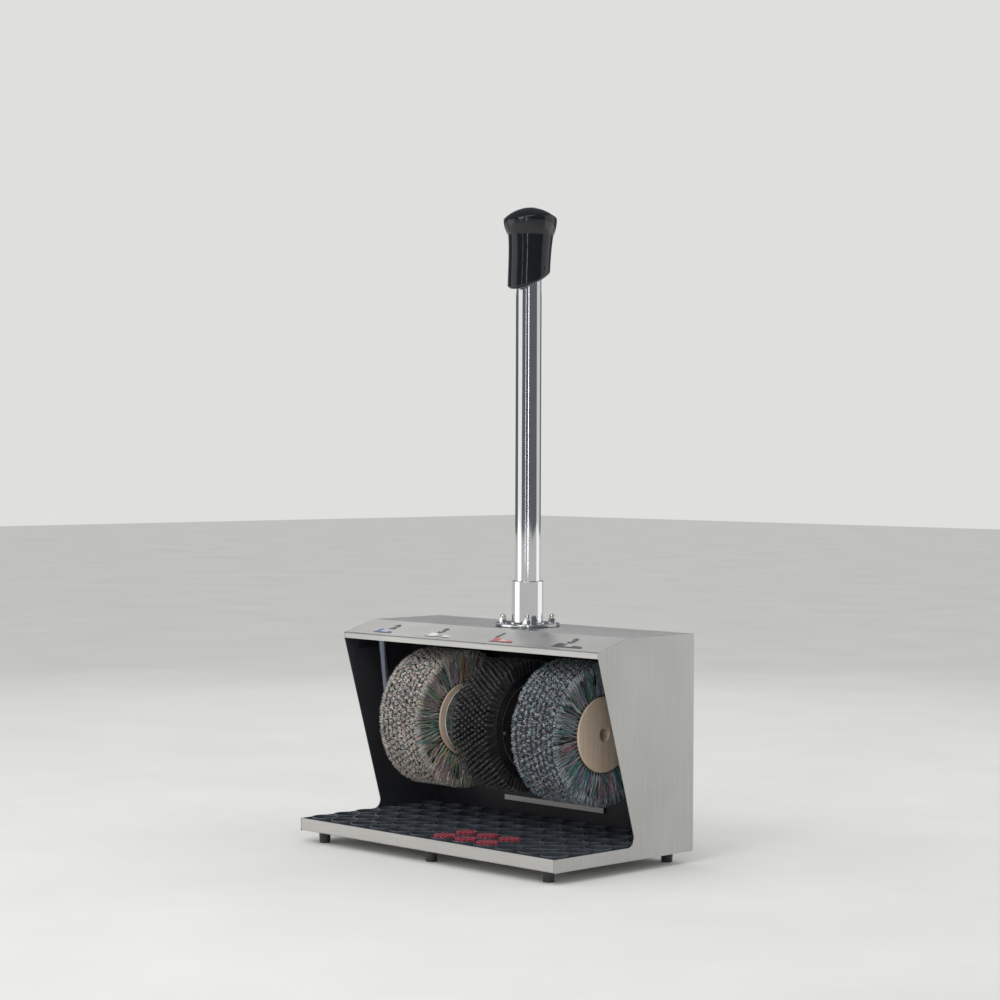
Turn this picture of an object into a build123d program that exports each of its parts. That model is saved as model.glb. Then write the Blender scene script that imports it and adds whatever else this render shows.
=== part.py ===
from build123d import *
import math
import os

# A free-standing electric shoe polisher: a stainless casing with a rubber mat, three brushes on one
# motor shaft and a tall handle whose grip holds the start button.
# Origin: centre of the footprint on the floor. +X right, -Y front, +Z up. Millimetres.

# ---- driving dimensions ----
WIDTH = 560.0
DEPTH = 300.0
HEIGHT = 1000.0
SHEET = 1.5
BEND = 3.0
FOOT_H = 18.0
FOOT_R = 9.5
TRAY_TOP = 37.5
ROOF_Z = 346.0
LIP_Y = -60.0
LIP_LOW = 319.0
LIP_HIGH = 328.0
BEVEL_Y = 4.0
HEEL_Y = 22.5
HEEL_R = 13.5

SHAFT_Y = 25.0
SHAFT_Z = 197.5
SHAFT_R = 7.5
FIT = 0.05

LEFT_X = (-169.5, -82.5)
LEFT_R = 110.0
MIDDLE_X = (-16.0, 68.0)
MIDDLE_R = 103.5
RIGHT_X = (123.5, 215.5)
RIGHT_R = 110.0
CORE_R = 57.0
CORE_INSET = 2.0
DRUM_R = 81.0

HANDLE_Y = 76.0
TUBE_R = 20.0
TUBE_TOP = 948.0
SOCKET_TOP = 417.0
BOLT_SPACING = 54.0

MAT_TOP = 40.0
CELL_PITCH = 46.0
CELL_COLUMNS = 12
CELL_ROWS = 6
CELL_FRONT_Y = -122.5

# ---- derived places ----
SIDE_X = WIDTH / 2
INNER_X = SIDE_X - SHEET
FRONT_Y = -DEPTH / 2
REAR_Y = DEPTH / 2
FLOOR_Z = FOOT_H + SHEET
PANEL_Y = REAR_Y - 4.0
PANEL_IN_Y = PANEL_Y - SHEET
LINER_Y = 141.5
LINER_KNEE = (LINER_Y, 240.0)
LINER_TOP = (64.6, 330.0)
PLATE_Y = LINER_Y - SHEET
PLATE_T = 3.0

SHAFT_AXIS = Axis((0, SHAFT_Y, SHAFT_Z), (1, 0, 0))
SHAFT_SECTION = Plane(origin=(0, SHAFT_Y, SHAFT_Z), x_dir=(1, 0, 0), z_dir=(0, -1, 0))

os.makedirs("parts", exist_ok=True)


def save(builder, name):
    builder.part.label = name
    export_step(builder.part, f"parts/{name}.step")


def across_shaft(x):
    """Plane square to the brush shaft at x; its own x runs to the rear and its own y runs up."""
    return Plane(origin=(x, SHAFT_Y, SHAFT_Z), x_dir=(0, 1, 0), z_dir=(1, 0, 0))


def facing_rear(y, x=0.0, z=0.0):
    """Plane at depth y whose own x runs right and own y runs up; a positive extrude goes forward."""
    return Plane(origin=(x, y, z), x_dir=(1, 0, 0), z_dir=(0, -1, 0))


def turned(*points):
    """Adds a body turned about the brush shaft from (x, radius) points."""
    with BuildSketch(SHAFT_SECTION) as section:
        Polygon(*points, align=None)
    revolve(section.sketch, axis=SHAFT_AXIS)


def ring(x0, x1, outer, inner, mode=Mode.ADD):
    """Adds a plain ring about the brush shaft."""
    with BuildSketch(across_shaft(x0)) as section:
        Circle(outer)
        if inner:
            Circle(inner, mode=Mode.SUBTRACT)
    extrude(section.sketch, amount=x1 - x0, mode=mode)


def upright_box(x, y, z, mode=Mode.ADD):
    """Adds a box from pairs of low and high limits."""
    with BuildSketch(Plane.XY.offset(z[0])) as section:
        with Locations(((x[0] + x[1]) / 2, (y[0] + y[1]) / 2)):
            Rectangle(x[1] - x[0], y[1] - y[0])
    extrude(section.sketch, amount=z[1] - z[0], mode=mode)


def bent_sheet(points, half_width):
    """Adds a folded sheet: its outer line in the side view, thickened inward, across the width."""
    with BuildSketch(Plane.YZ) as section:
        with BuildLine():
            FilletPolyline(*points, radius=BEND)
            offset(amount=SHEET, side=Side.LEFT)
        make_face()
    extrude(section.sketch, amount=half_width, both=True)


# ---- casing ----
BOLT_OUT = BOLT_SPACING / 2
HANDLE_BOLTS = [(sx * BOLT_OUT, HANDLE_Y + sy * BOLT_OUT) for sx in (-1, 1) for sy in (-1, 1)]
BOLT_HOLE_R = 3.2
LEAD_HOLE_R = 14.0

with BuildPart() as hood:
    bent_sheet([(REAR_Y, ROOF_Z), (BEVEL_Y, ROOF_Z), (LIP_Y, LIP_HIGH), (LIP_Y, LIP_LOW)], INNER_X)
    with BuildSketch(Plane.XY.offset(ROOF_Z + 1)):
        with Locations(*HANDLE_BOLTS):
            Circle(BOLT_HOLE_R)
        with Locations((0, HANDLE_Y)):
            Circle(LEAD_HOLE_R)
    extrude(amount=-SHEET - 2, mode=Mode.SUBTRACT)
save(hood, "hood")

SIDE_OUTLINE = [
    (FRONT_Y, FOOT_H),
    (FRONT_Y, TRAY_TOP),
    (HEEL_Y, TRAY_TOP),
    (LIP_Y, LIP_LOW),
    (LIP_Y, LIP_HIGH),
    (BEVEL_Y, ROOF_Z),
    (REAR_Y, ROOF_Z),
    (REAR_Y, FOOT_H),
]
REAR_FLANGE = 14.0
PANEL_SCREW_Z = (60.0, 190.0, 320.0)
PANEL_SCREW_X = INNER_X - REAR_FLANGE / 2
SCREW_HOLE_R = 2.1


def side_panel(side):
    """Flat side sheet with a welded rear flange; side is -1 for left, 1 for right."""
    with BuildPart() as panel:
        with BuildSketch(Plane.YZ.offset(side * SIDE_X)) as outline:
            Polygon(*SIDE_OUTLINE, align=None)
            heel = outline.vertices().filter_by_position(Axis.X, HEEL_Y - 1, HEEL_Y + 1)
            fillet(heel, HEEL_R)
            rear_foot = outline.vertices().group_by(Axis.X)[-1].sort_by(Axis.Y)[0]
            fillet(rear_foot, BEND)
        extrude(amount=-side * SHEET)
        flange_x = sorted((side * INNER_X, side * (INNER_X - REAR_FLANGE)))
        upright_box(flange_x, (PANEL_IN_Y - SHEET, PANEL_IN_Y), (FOOT_H + 20, ROOF_Z - 4))
        with BuildSketch(facing_rear(PANEL_IN_Y)):
            with Locations(*[(side * PANEL_SCREW_X, z) for z in PANEL_SCREW_Z]):
                Circle(SCREW_HOLE_R)
        extrude(amount=SHEET, mode=Mode.SUBTRACT)
    return panel


for side, name in ((-1, "side_panel_left"), (1, "side_panel_right")):
    save(side_panel(side), name)

FEET = [(x, y) for x in (-247.0, 0.0, 247.0) for y in (-128.0, 128.0)]
FOOT_SCREW_R = 2.4
FLANGE_TOP = 33.0

with BuildPart() as base_tray:
    bent_sheet(
        [
            (FRONT_Y, TRAY_TOP),
            (FRONT_Y, FOOT_H),
            (PANEL_IN_Y, FOOT_H),
            (PANEL_IN_Y, FLANGE_TOP),
        ],
        INNER_X,
    )
    for x in ((-INNER_X, -INNER_X + SHEET), (INNER_X - SHEET, INNER_X)):
        upright_box(x, (FRONT_Y + SHEET, PANEL_IN_Y - SHEET), (FLOOR_Z, FLANGE_TOP))
    with BuildSketch(Plane.XY.offset(FOOT_H)):
        with Locations(*FEET):
            Circle(FOOT_SCREW_R + 0.1)
    extrude(amount=SHEET, mode=Mode.SUBTRACT)
save(base_tray, "base_tray")

INLET = (200.0, 305.0)
SWITCH = (150.0, 305.0)
VENT_PITCH = 9.0
VENT_COUNT = 9
PLATE_BOLTS = [(-76.0, 78.0), (76.0, 78.0), (-76.0, 226.0), (76.0, 226.0)]
PLATE_BOLT_R = 3.0

with BuildPart() as rear_panel:
    with BuildSketch(facing_rear(PANEL_Y)):
        with Locations((0, (FOOT_H + 4 + ROOF_Z - SHEET - 0.5) / 2)):
            Rectangle(2 * INNER_X - 1, ROOF_Z - SHEET - 0.5 - FOOT_H - 4)
        with Locations(INLET):
            Rectangle(27.4, 20.0, mode=Mode.SUBTRACT)
        with Locations(SWITCH):
            Rectangle(15.0, 22.0, mode=Mode.SUBTRACT)
        with Locations(*[(sx * PANEL_SCREW_X, z) for sx in (-1, 1) for z in PANEL_SCREW_Z]):
            Circle(SCREW_HOLE_R, mode=Mode.SUBTRACT)
        with Locations(*PLATE_BOLTS):
            Circle(PLATE_BOLT_R + 0.2, mode=Mode.SUBTRACT)
        with Locations((-190, 120), (190, 120), (-190, 300)):
            with GridLocations(0, VENT_PITCH, 1, VENT_COUNT):
                SlotOverall(60, 4, mode=Mode.SUBTRACT)
    extrude(amount=SHEET)
save(rear_panel, "rear_panel")

with BuildPart() as rear_panel_screws:
    screw_points = [(sx * PANEL_SCREW_X, z) for sx in (-1, 1) for z in PANEL_SCREW_Z]
    with BuildSketch(facing_rear(PANEL_Y + 2.4)):
        with Locations(*screw_points):
            Circle(3.8)
    extrude(amount=2.4)
    fillet(rear_panel_screws.faces().sort_by(Axis.Y)[-len(screw_points):].edges(), 1.2)
    with BuildSketch(facing_rear(PANEL_Y)):
        with Locations(*screw_points):
            Circle(2.0)
    extrude(amount=3.7)
    with BuildSketch(facing_rear(PANEL_Y + 2.4)):
        with Locations(*screw_points):
            Rectangle(4.4, 0.9)
            Rectangle(0.9, 4.4)
    extrude(amount=1.3, mode=Mode.SUBTRACT)
save(rear_panel_screws, "rear_panel_screws")

# The liner is a black sheet: upright behind the brushes, then leaning forward over them.
MOTOR_LEAD_X = -67.0
MOTOR_LEAD_R = 3.0
LEAD_AIM = (math.cos(math.radians(50)), math.sin(math.radians(50)))
CASING_R = 53.0


def along_lead(distance):
    """Point on the motor lead's straight stretch, at a distance from the casing's skin."""
    reach = CASING_R + 0.5 + distance
    return (MOTOR_LEAD_X, SHAFT_Y + reach * LEAD_AIM[0], SHAFT_Z + reach * LEAD_AIM[1])


def lead_plane(distance):
    return Plane(origin=along_lead(distance), x_dir=(1, 0, 0), z_dir=(0, LEAD_AIM[0], LEAD_AIM[1]))


GLAND_R = 6.0
with BuildPart() as inner_liner:
    bent_sheet([(LINER_Y, FLOOR_Z + 0.1), LINER_KNEE, LINER_TOP], INNER_X - 2.5)
    with BuildSketch(facing_rear(LINER_Y + 1)):
        with Locations(*PLATE_BOLTS):
            Circle(PLATE_BOLT_R + 0.2)
    extrude(amount=SHEET + 2, mode=Mode.SUBTRACT)
    with BuildSketch(lead_plane(50)):
        Circle(GLAND_R + 0.1)
    extrude(amount=30, mode=Mode.SUBTRACT)
save(inner_liner, "inner_liner")

with BuildPart() as rubber_feet:
    with BuildSketch(Plane.XY):
        with Locations(*FEET):
            Circle(FOOT_R - 1.0)
    extrude(amount=FOOT_H, taper=-3)
    with BuildSketch(Plane.XY):
        with Locations(*FEET):
            Circle(FOOT_SCREW_R + 2.4)
    extrude(amount=6, mode=Mode.SUBTRACT)
    with BuildSketch(Plane.XY):
        with Locations(*FEET):
            Circle(FOOT_SCREW_R + 0.1)
    extrude(amount=FOOT_H, mode=Mode.SUBTRACT)
save(rubber_feet, "rubber_feet")

with BuildPart() as feet_screws:
    with BuildSketch(Plane.XY.offset(3)):
        with Locations(*FEET):
            Circle(FOOT_SCREW_R + 2.2)
    extrude(amount=3)
    with BuildSketch(Plane.XY.offset(6)):
        with Locations(*FEET):
            Circle(FOOT_SCREW_R)
    extrude(amount=FLOOR_Z - 6.2)
    with BuildSketch(Plane.XY.offset(3)):
        with Locations(*FEET):
            Rectangle(5.0, 1.0)
            Rectangle(1.0, 5.0)
    extrude(amount=1.6, mode=Mode.SUBTRACT)
save(feet_screws, "feet_screws")

# ---- rubber mat, lifted out for cleaning ----
MAT_X = 276.0
MAT_Y = (FRONT_Y + SHEET + 1.0, 138.5)
MAT_LOW = FLOOR_Z + 0.3
WEB_TOP = 35.0
CELL_R = 18.5
RING_R = 21.5
GAP_R = 6.5
CELL_FLOOR = MAT_LOW + 1.5
RING_ROUND = 0.8
CELL_REAR_Y = CELL_FRONT_Y + (CELL_ROWS - 1) * CELL_PITCH
CELL_MID_Y = (CELL_FRONT_Y + CELL_REAR_Y) / 2
PLUG_CELLS = [(CELL_PITCH * (i + 0.5), CELL_FRONT_Y + j * CELL_PITCH) for i in (0, 1, 2) for j in (0, 1)]
PLUG_R = 18.2
PLUG_BASE_TOP = 30.0
PLUG_TOP = 43.0
STUB_R = 2.9
STUB_ROUND = 1.6
STUB_RINGS = ((7.0, 6), (13.6, 12))

with BuildPart() as floor_mat:
    with BuildSketch(Plane.XY.offset(MAT_LOW)):
        with Locations((0, (MAT_Y[0] + MAT_Y[1]) / 2)):
            RectangleRounded(2 * MAT_X, MAT_Y[1] - MAT_Y[0], 3)
    extrude(amount=WEB_TOP - MAT_LOW)
    with BuildSketch(Plane.XY.offset(WEB_TOP)):
        with Locations((0, CELL_MID_Y)):
            with GridLocations(CELL_PITCH, CELL_PITCH, CELL_COLUMNS, CELL_ROWS):
                Circle(RING_R)
    extrude(amount=MAT_TOP - WEB_TOP)
    with BuildSketch(Plane.XY.offset(CELL_FLOOR)):
        with Locations((0, CELL_MID_Y)):
            with GridLocations(CELL_PITCH, CELL_PITCH, CELL_COLUMNS, CELL_ROWS):
                Circle(CELL_R)
            with GridLocations(CELL_PITCH, CELL_PITCH, CELL_COLUMNS - 1, CELL_ROWS - 1):
                Circle(GAP_R)
    extrude(amount=MAT_TOP - CELL_FLOOR, mode=Mode.SUBTRACT)
    fillet(floor_mat.faces().group_by(Axis.Z)[-1].edges(), RING_ROUND)
save(floor_mat, "floor_mat")

with BuildPart() as mat_bristle_plugs:
    with BuildSketch(Plane.XY.offset(CELL_FLOOR)):
        with Locations(*PLUG_CELLS):
            Circle(PLUG_R)
    extrude(amount=PLUG_BASE_TOP - CELL_FLOOR)
    with BuildSketch(Plane.XY.offset(PLUG_BASE_TOP)):
        with Locations(*PLUG_CELLS):
            Circle(STUB_R)
            for reach, count in STUB_RINGS:
                with PolarLocations(reach, count):
                    Circle(STUB_R)
    extrude(amount=PLUG_TOP - PLUG_BASE_TOP)
    fillet(mat_bristle_plugs.faces().group_by(Axis.Z)[-1].edges(), STUB_ROUND)
save(mat_bristle_plugs, "mat_bristle_plugs")

# ---- motor and its mounting ----
PLATE_X = 109.0
PLATE_Z = (57.5, 238.0)
STRIP_H = 8.0
STRIP_T = 2.0

with BuildPart() as motor_plate:
    upright_box((-PLATE_X, PLATE_X), (PLATE_Y - PLATE_T, PLATE_Y), PLATE_Z)
    strip_y = (PLATE_Y - PLATE_T - STRIP_T, PLATE_Y - PLATE_T)
    upright_box((-PLATE_X, PLATE_X), strip_y, (PLATE_Z[0], PLATE_Z[0] + STRIP_H))
    with BuildSketch(facing_rear(PLATE_Y + 1)):
        with Locations(*PLATE_BOLTS):
            Circle(PLATE_BOLT_R + 0.2)
    extrude(amount=PLATE_T + 2, mode=Mode.SUBTRACT)
save(motor_plate, "motor_plate")

with BuildPart() as motor_plate_bolts:
    with BuildSketch(facing_rear(PLATE_Y - PLATE_T)):
        with Locations(*PLATE_BOLTS):
            RegularPolygon(5.0, 6, major_radius=False)
    extrude(amount=4)
    with BuildSketch(facing_rear(PANEL_Y + 3.4)):
        with Locations(*PLATE_BOLTS):
            Circle(PLATE_BOLT_R)
    extrude(amount=PANEL_Y + 3.4 - PLATE_Y + PLATE_T)
    with BuildSketch(facing_rear(PANEL_Y + 3.2)):
        with Locations(*PLATE_BOLTS):
            RegularPolygon(5.0, 6, major_radius=False)
            Circle(PLATE_BOLT_R + 0.05, mode=Mode.SUBTRACT)
    extrude(amount=3.2)
save(motor_plate_bolts, "motor_plate_bolts")

CASING_X = (-75.0, 21.0)
BELL_T = 4.0
BAND_X = (-50.0, -38.0)
SADDLE_X = (-60.0, -28.0)
CHEEK_X = ((-58.0, -55.0), (-33.0, -30.0))
SADDLE_T = 3.0
SADDLE_EDGE_Y = SHAFT_Y + 26.0
FOOT_PLATE_Y = PLATE_Y - PLATE_T
EAR_X = (-49.0, -39.0)
EAR_MID = (EAR_X[0] + EAR_X[1]) / 2
EAR_RISE = math.sqrt((CASING_R + 1.5) ** 2 - (SADDLE_EDGE_Y - SHAFT_Y) ** 2)

with BuildPart() as motor_bracket:
    upright_box(SADDLE_X, (FOOT_PLATE_Y - 3, FOOT_PLATE_Y), (140, 236))
    for x0, x1 in CHEEK_X:
        with BuildSketch(Plane.YZ.offset(x0)):
            cheek_back = [(FOOT_PLATE_Y - 2, 145), (FOOT_PLATE_Y - 2, 232)]
            Polygon(*cheek_back, (75, 228), (50, SHAFT_Z), (70, 160), align=None)
        extrude(amount=x1 - x0)
    ring(SADDLE_X[0], SADDLE_X[1], CASING_R + SADDLE_T, CASING_R)
    upright_box((-80, -20), (-60, SADDLE_EDGE_Y), (100, 300), mode=Mode.SUBTRACT)
    ring(-90, -20, CASING_R + FIT, 0, mode=Mode.SUBTRACT)
    for up in (-1, 1):
        ear_z = sorted((SHAFT_Z + up * (EAR_RISE - 0.3), SHAFT_Z + up * (EAR_RISE + 14)))
        upright_box(EAR_X, (SADDLE_EDGE_Y, SADDLE_EDGE_Y + 3), ear_z)
        with BuildSketch(facing_rear(SADDLE_EDGE_Y + 4, EAR_MID, SHAFT_Z + up * (EAR_RISE + 8))):
            Circle(2.2)
        extrude(amount=5, mode=Mode.SUBTRACT)
save(motor_bracket, "motor_bracket")

with BuildPart() as motor_clamp_band:
    ring(BAND_X[0], BAND_X[1], CASING_R + 1.5, CASING_R + FIT)
    upright_box((-80, -20), (SADDLE_EDGE_Y - 0.1, 90), (100, 300), mode=Mode.SUBTRACT)
    for up in (-1, 1):
        ear_z = sorted((SHAFT_Z + up * (EAR_RISE - 0.3), SHAFT_Z + up * (EAR_RISE + 14)))
        upright_box(EAR_X, (SADDLE_EDGE_Y - 2.1, SADDLE_EDGE_Y - 0.1), ear_z)
        with BuildSketch(facing_rear(SADDLE_EDGE_Y + 1, EAR_MID, SHAFT_Z + up * (EAR_RISE + 8))):
            Circle(2.2)
        extrude(amount=5, mode=Mode.SUBTRACT)
save(motor_clamp_band, "motor_clamp_band")

with BuildPart() as clamp_bolts:
    for up in (-1, 1):
        bolt_z = SHAFT_Z + up * (EAR_RISE + 8)
        with BuildSketch(facing_rear(SADDLE_EDGE_Y - 2.1, EAR_MID, bolt_z)):
            RegularPolygon(3.5, 6, major_radius=False)
        extrude(amount=2.8)
        with BuildSketch(facing_rear(SADDLE_EDGE_Y + 8, EAR_MID, bolt_z)):
            Circle(2.0)
        extrude(amount=10.1)
        with BuildSketch(facing_rear(SADDLE_EDGE_Y + 6.2, EAR_MID, bolt_z)):
            RegularPolygon(3.5, 6, major_radius=False)
            Circle(2.05, mode=Mode.SUBTRACT)
        extrude(amount=3.2)
save(clamp_bolts, "clamp_bolts")

with BuildPart() as motor_casing:
    ring(CASING_X[0], CASING_X[1], CASING_R, CASING_R - 2)
save(motor_casing, "motor_casing")

BEARING_R = 17.5
BEARING_T = 11.0
SEAT_R = 21.0


def end_bell(edge, inward):
    """Turned end cover with a bearing seat; edge is its outer face, inward the way to the stator."""
    with BuildPart() as bell:
        turned(
            (edge, SHAFT_R + 1.5),
            (edge, CASING_R - 3),
            (edge + inward, CASING_R - 0.6),
            (edge + inward * BELL_T, CASING_R - 0.6),
            (edge + inward * BELL_T, SEAT_R),
            (edge + inward * (BELL_T + BEARING_T), SEAT_R),
            (edge + inward * (BELL_T + BEARING_T), BEARING_R),
            (edge + inward * BELL_T, BEARING_R),
            (edge + inward * BELL_T, SHAFT_R + 1.5),
        )
    return bell


BELLS = (("left", CASING_X[0] - BELL_T, 1), ("right", CASING_X[1] + BELL_T, -1))
for side, edge, inward in BELLS:
    save(end_bell(edge, inward), f"motor_end_bell_{side}")

with BuildPart() as motor_bearings:
    for side, edge, inward in BELLS:
        inner, outer = sorted((edge + inward * BELL_T, edge + inward * (BELL_T + BEARING_T)))
        ring(inner, outer, BEARING_R, SHAFT_R + FIT)
save(motor_bearings, "motor_bearings")

STACK_X = (-53.0, -1.0)
BORE_R = 31.0
with BuildPart() as motor_stator:
    ring(STACK_X[0], STACK_X[1], CASING_R - 2, BORE_R)
save(motor_stator, "motor_stator")

with BuildPart() as motor_windings:
    for x0, x1 in ((STACK_X[0] - 6, STACK_X[0]), (STACK_X[1], STACK_X[1] + 6)):
        ring(x0, x1, 47, 33)
    fillet(motor_windings.edges().filter_by(GeomType.CIRCLE), 2)
save(motor_windings, "motor_windings")

# ---- rotor: shaft and the three brushes ----
COUNTERBORE_R = 11.0
COUNTERBORE = 35.0
LEFT_CORE_X = (LEFT_X[0] + CORE_INSET, LEFT_X[1] - CORE_INSET)
RIGHT_CORE_X = (RIGHT_X[0] + CORE_INSET, RIGHT_X[1] - CORE_INSET)
LEFT_SEAT_X = LEFT_CORE_X[0] + COUNTERBORE
RIGHT_SEAT_X = RIGHT_CORE_X[1] - COUNTERBORE
SHAFT_X = (LEFT_SEAT_X + 1, RIGHT_SEAT_X - 1)
SCREW_R = 4.0
SCREW_IN = 20.0

with BuildPart() as brush_shaft:
    ring(SHAFT_X[0], SHAFT_X[1], SHAFT_R, 0)
    chamfer(brush_shaft.edges(), 0.8)
    ring(SHAFT_X[0], SHAFT_X[0] + SCREW_IN + 1, SCREW_R + FIT, 0, mode=Mode.SUBTRACT)
    ring(SHAFT_X[1] - SCREW_IN - 1, SHAFT_X[1], SCREW_R + FIT, 0, mode=Mode.SUBTRACT)
save(brush_shaft, "brush_shaft")

with BuildPart() as motor_rotor_core:
    ring(STACK_X[0], STACK_X[1], BORE_R - 0.5, SHAFT_R + FIT)
save(motor_rotor_core, "motor_rotor_core")


def wooden_core(x, seat_x, outer_x):
    """Turned wooden hub on the shaft, counterbored from its outer face for the end screw."""
    low, high = x
    with BuildPart() as core:
        ring(low, high, CORE_R, SHAFT_R + FIT)
        chamfer(core.edges().filter_by(GeomType.CIRCLE).group_by(SortBy.RADIUS)[-1], 1.0)
        bore = sorted((seat_x, outer_x))
        ring(bore[0], bore[1], COUNTERBORE_R, 0, mode=Mode.SUBTRACT)
    return core


save(wooden_core(LEFT_CORE_X, LEFT_SEAT_X, LEFT_CORE_X[0]), "brush_left_core")
save(wooden_core(RIGHT_CORE_X, RIGHT_SEAT_X, RIGHT_CORE_X[1]), "brush_right_core")

BRISTLE_INSET = 3.5


def bristles(x, root_r, tip_r):
    """Bristle ring as one soft body, a little wider at its tips than at its roots."""
    with BuildPart() as tuft_ring:
        turned(
            (x[0] + BRISTLE_INSET, root_r),
            (x[0], tip_r - 6),
            (x[0] + 3, tip_r),
            (x[1] - 3, tip_r),
            (x[1], tip_r - 6),
            (x[1] - BRISTLE_INSET, root_r),
        )
    return tuft_ring


save(bristles(LEFT_X, CORE_R, LEFT_R), "brush_left_bristles")
save(bristles(MIDDLE_X, DRUM_R, MIDDLE_R), "brush_middle_bristles")
save(bristles(RIGHT_X, CORE_R, RIGHT_R), "brush_right_bristles")

DRUM_X = (MIDDLE_X[0] + 1, MIDDLE_X[1])
DRUM_RIM_R = 69.5
DRUM_BORE_R = 74.0
WEB_X = (61.0, 65.0)
BOSS_X = 30.0
BOSS_R = 16.0
DRUM_SCREW_R = 63.8
DRUM_SCREWS = 4

with BuildPart() as brush_middle_drum:
    turned(
        (DRUM_X[0], DRUM_BORE_R),
        (DRUM_X[0], DRUM_R),
        (DRUM_X[1], DRUM_R),
        (DRUM_X[1], DRUM_RIM_R + 0.5),
        (DRUM_X[1] - 0.5, DRUM_RIM_R),
        (WEB_X[1], DRUM_RIM_R),
        (WEB_X[1], SHAFT_R + FIT),
        (BOSS_X, SHAFT_R + FIT),
        (BOSS_X, BOSS_R),
        (WEB_X[0], BOSS_R),
        (WEB_X[0], DRUM_BORE_R),
    )
    with BuildSketch(across_shaft(WEB_X[0] - 1)):
        with PolarLocations(DRUM_SCREW_R, DRUM_SCREWS, start_angle=5):
            Circle(1.6)
    extrude(amount=6, mode=Mode.SUBTRACT)
save(brush_middle_drum, "brush_middle_drum")

with BuildPart() as drum_screws:
    with BuildSketch(across_shaft(WEB_X[0] - 2)):
        with PolarLocations(DRUM_SCREW_R, DRUM_SCREWS, start_angle=5):
            Circle(1.5)
    extrude(amount=WEB_X[1] - WEB_X[0] + 2)
    with BuildSketch(across_shaft(WEB_X[1])):
        with PolarLocations(DRUM_SCREW_R, DRUM_SCREWS, start_angle=5):
            Circle(2.8)
    extrude(amount=1.8)
    fillet(drum_screws.faces().sort_by(Axis.X)[-DRUM_SCREWS:].edges(), 1.0)
save(drum_screws, "drum_screws")

SLEEVE_R = 10.0
with BuildPart() as shaft_spacers:
    ring(LEFT_CORE_X[1], CASING_X[0] - BELL_T - 1, 12, SHAFT_R + FIT)
    ring(CASING_X[1] + BELL_T + 1, BOSS_X, 12, SHAFT_R + FIT)
    ring(WEB_X[1], RIGHT_CORE_X[0], SLEEVE_R, SHAFT_R + FIT)
save(shaft_spacers, "shaft_spacers")

WASHER_T = 2.0
HEAD_T = 6.0
HEAD_R = 6.5
SEATS = ((LEFT_SEAT_X, -1), (RIGHT_SEAT_X, 1))

with BuildPart() as brush_washers:
    for seat, out in SEATS:
        x0, x1 = sorted((seat, seat + out * WASHER_T))
        ring(x0, x1, COUNTERBORE_R - 0.4, SCREW_R + 0.2)
save(brush_washers, "brush_washers")

with BuildPart() as brush_end_screws:
    for seat, out in SEATS:
        head = sorted((seat + out * WASHER_T, seat + out * (WASHER_T + HEAD_T)))
        shank = sorted((seat + out * WASHER_T, seat - out * SCREW_IN))
        socket = sorted((seat + out * (WASHER_T + 2), seat + out * (WASHER_T + HEAD_T)))
        ring(head[0], head[1], HEAD_R, 0)
        ring(shank[0], shank[1], SCREW_R, 0)
        with BuildSketch(across_shaft(socket[0])):
            RegularPolygon(3.0, 6, major_radius=False)
        extrude(amount=socket[1] - socket[0], mode=Mode.SUBTRACT)
save(brush_end_screws, "brush_end_screws")

# ---- electrics behind the liner ----
BOX_X = 45.0
BOX_Y = (106.0, PANEL_IN_Y)
BOX_Z = (290.0, 324.0)
BOX_WALL = 2.0
LID_T = 2.0

with BuildPart() as control_box:
    upright_box((-BOX_X, BOX_X), BOX_Y, BOX_Z)
    fillet(control_box.edges().filter_by(Axis.Z), 3)
    inside_x = (-BOX_X + BOX_WALL, BOX_X - BOX_WALL)
    inside_y = (BOX_Y[0] + BOX_WALL, BOX_Y[1] - BOX_WALL)
    upright_box(inside_x, inside_y, (BOX_Z[0] + BOX_WALL, BOX_Z[1]), Mode.SUBTRACT)
save(control_box, "control_box")

with BuildPart() as control_box_lid:
    upright_box((-BOX_X, BOX_X), BOX_Y, (BOX_Z[1], BOX_Z[1] + LID_T))
    fillet(control_box_lid.edges().filter_by(Axis.Z), 3)
save(control_box_lid, "control_box_lid")

CAP_R = 15.0
CAP_X = (62.0, 124.0)
CAP_Y = 127.5
CAP_Z = 306.0
CAP_PLANE = Plane(origin=(CAP_X[0], CAP_Y, CAP_Z), x_dir=(0, 1, 0), z_dir=(1, 0, 0))

with BuildPart() as run_capacitor:
    with BuildSketch(CAP_PLANE):
        Circle(CAP_R)
    extrude(amount=CAP_X[1] - CAP_X[0])
    fillet(run_capacitor.edges().filter_by(GeomType.CIRCLE), 2)
save(run_capacitor, "run_capacitor")

with BuildPart() as capacitor_clip:
    with BuildSketch(CAP_PLANE.offset(24)):
        Circle(CAP_R + 1.5)
        with Locations((16.25, -13)):
            Rectangle(1.5, 36)
        Circle(CAP_R + FIT, mode=Mode.SUBTRACT)
    extrude(amount=14)
save(capacitor_clip, "capacitor_clip")

with BuildPart() as mains_inlet:
    with BuildSketch(facing_rear(PANEL_Y + 2, *INLET)):
        RectangleRounded(48, 23, 4)
        with Locations((-20, 0), (20, 0)):
            Circle(1.7, mode=Mode.SUBTRACT)
    extrude(amount=2)
    with BuildSketch(facing_rear(PANEL_Y, *INLET)):
        Rectangle(27, 19.6)
    extrude(amount=28)
    with BuildSketch(facing_rear(PANEL_Y + 2, *INLET)) as socket:
        Rectangle(24, 16)
        chamfer(socket.vertices().group_by(Axis.Y)[-1], 4)
    extrude(amount=22, mode=Mode.SUBTRACT)
    with BuildSketch(facing_rear(PANEL_Y - 2, *INLET)):
        with Locations((-7, -2), (0, 2), (7, -2)):
            Rectangle(2, 4)
    extrude(amount=19)
save(mains_inlet, "mains_inlet")

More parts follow.
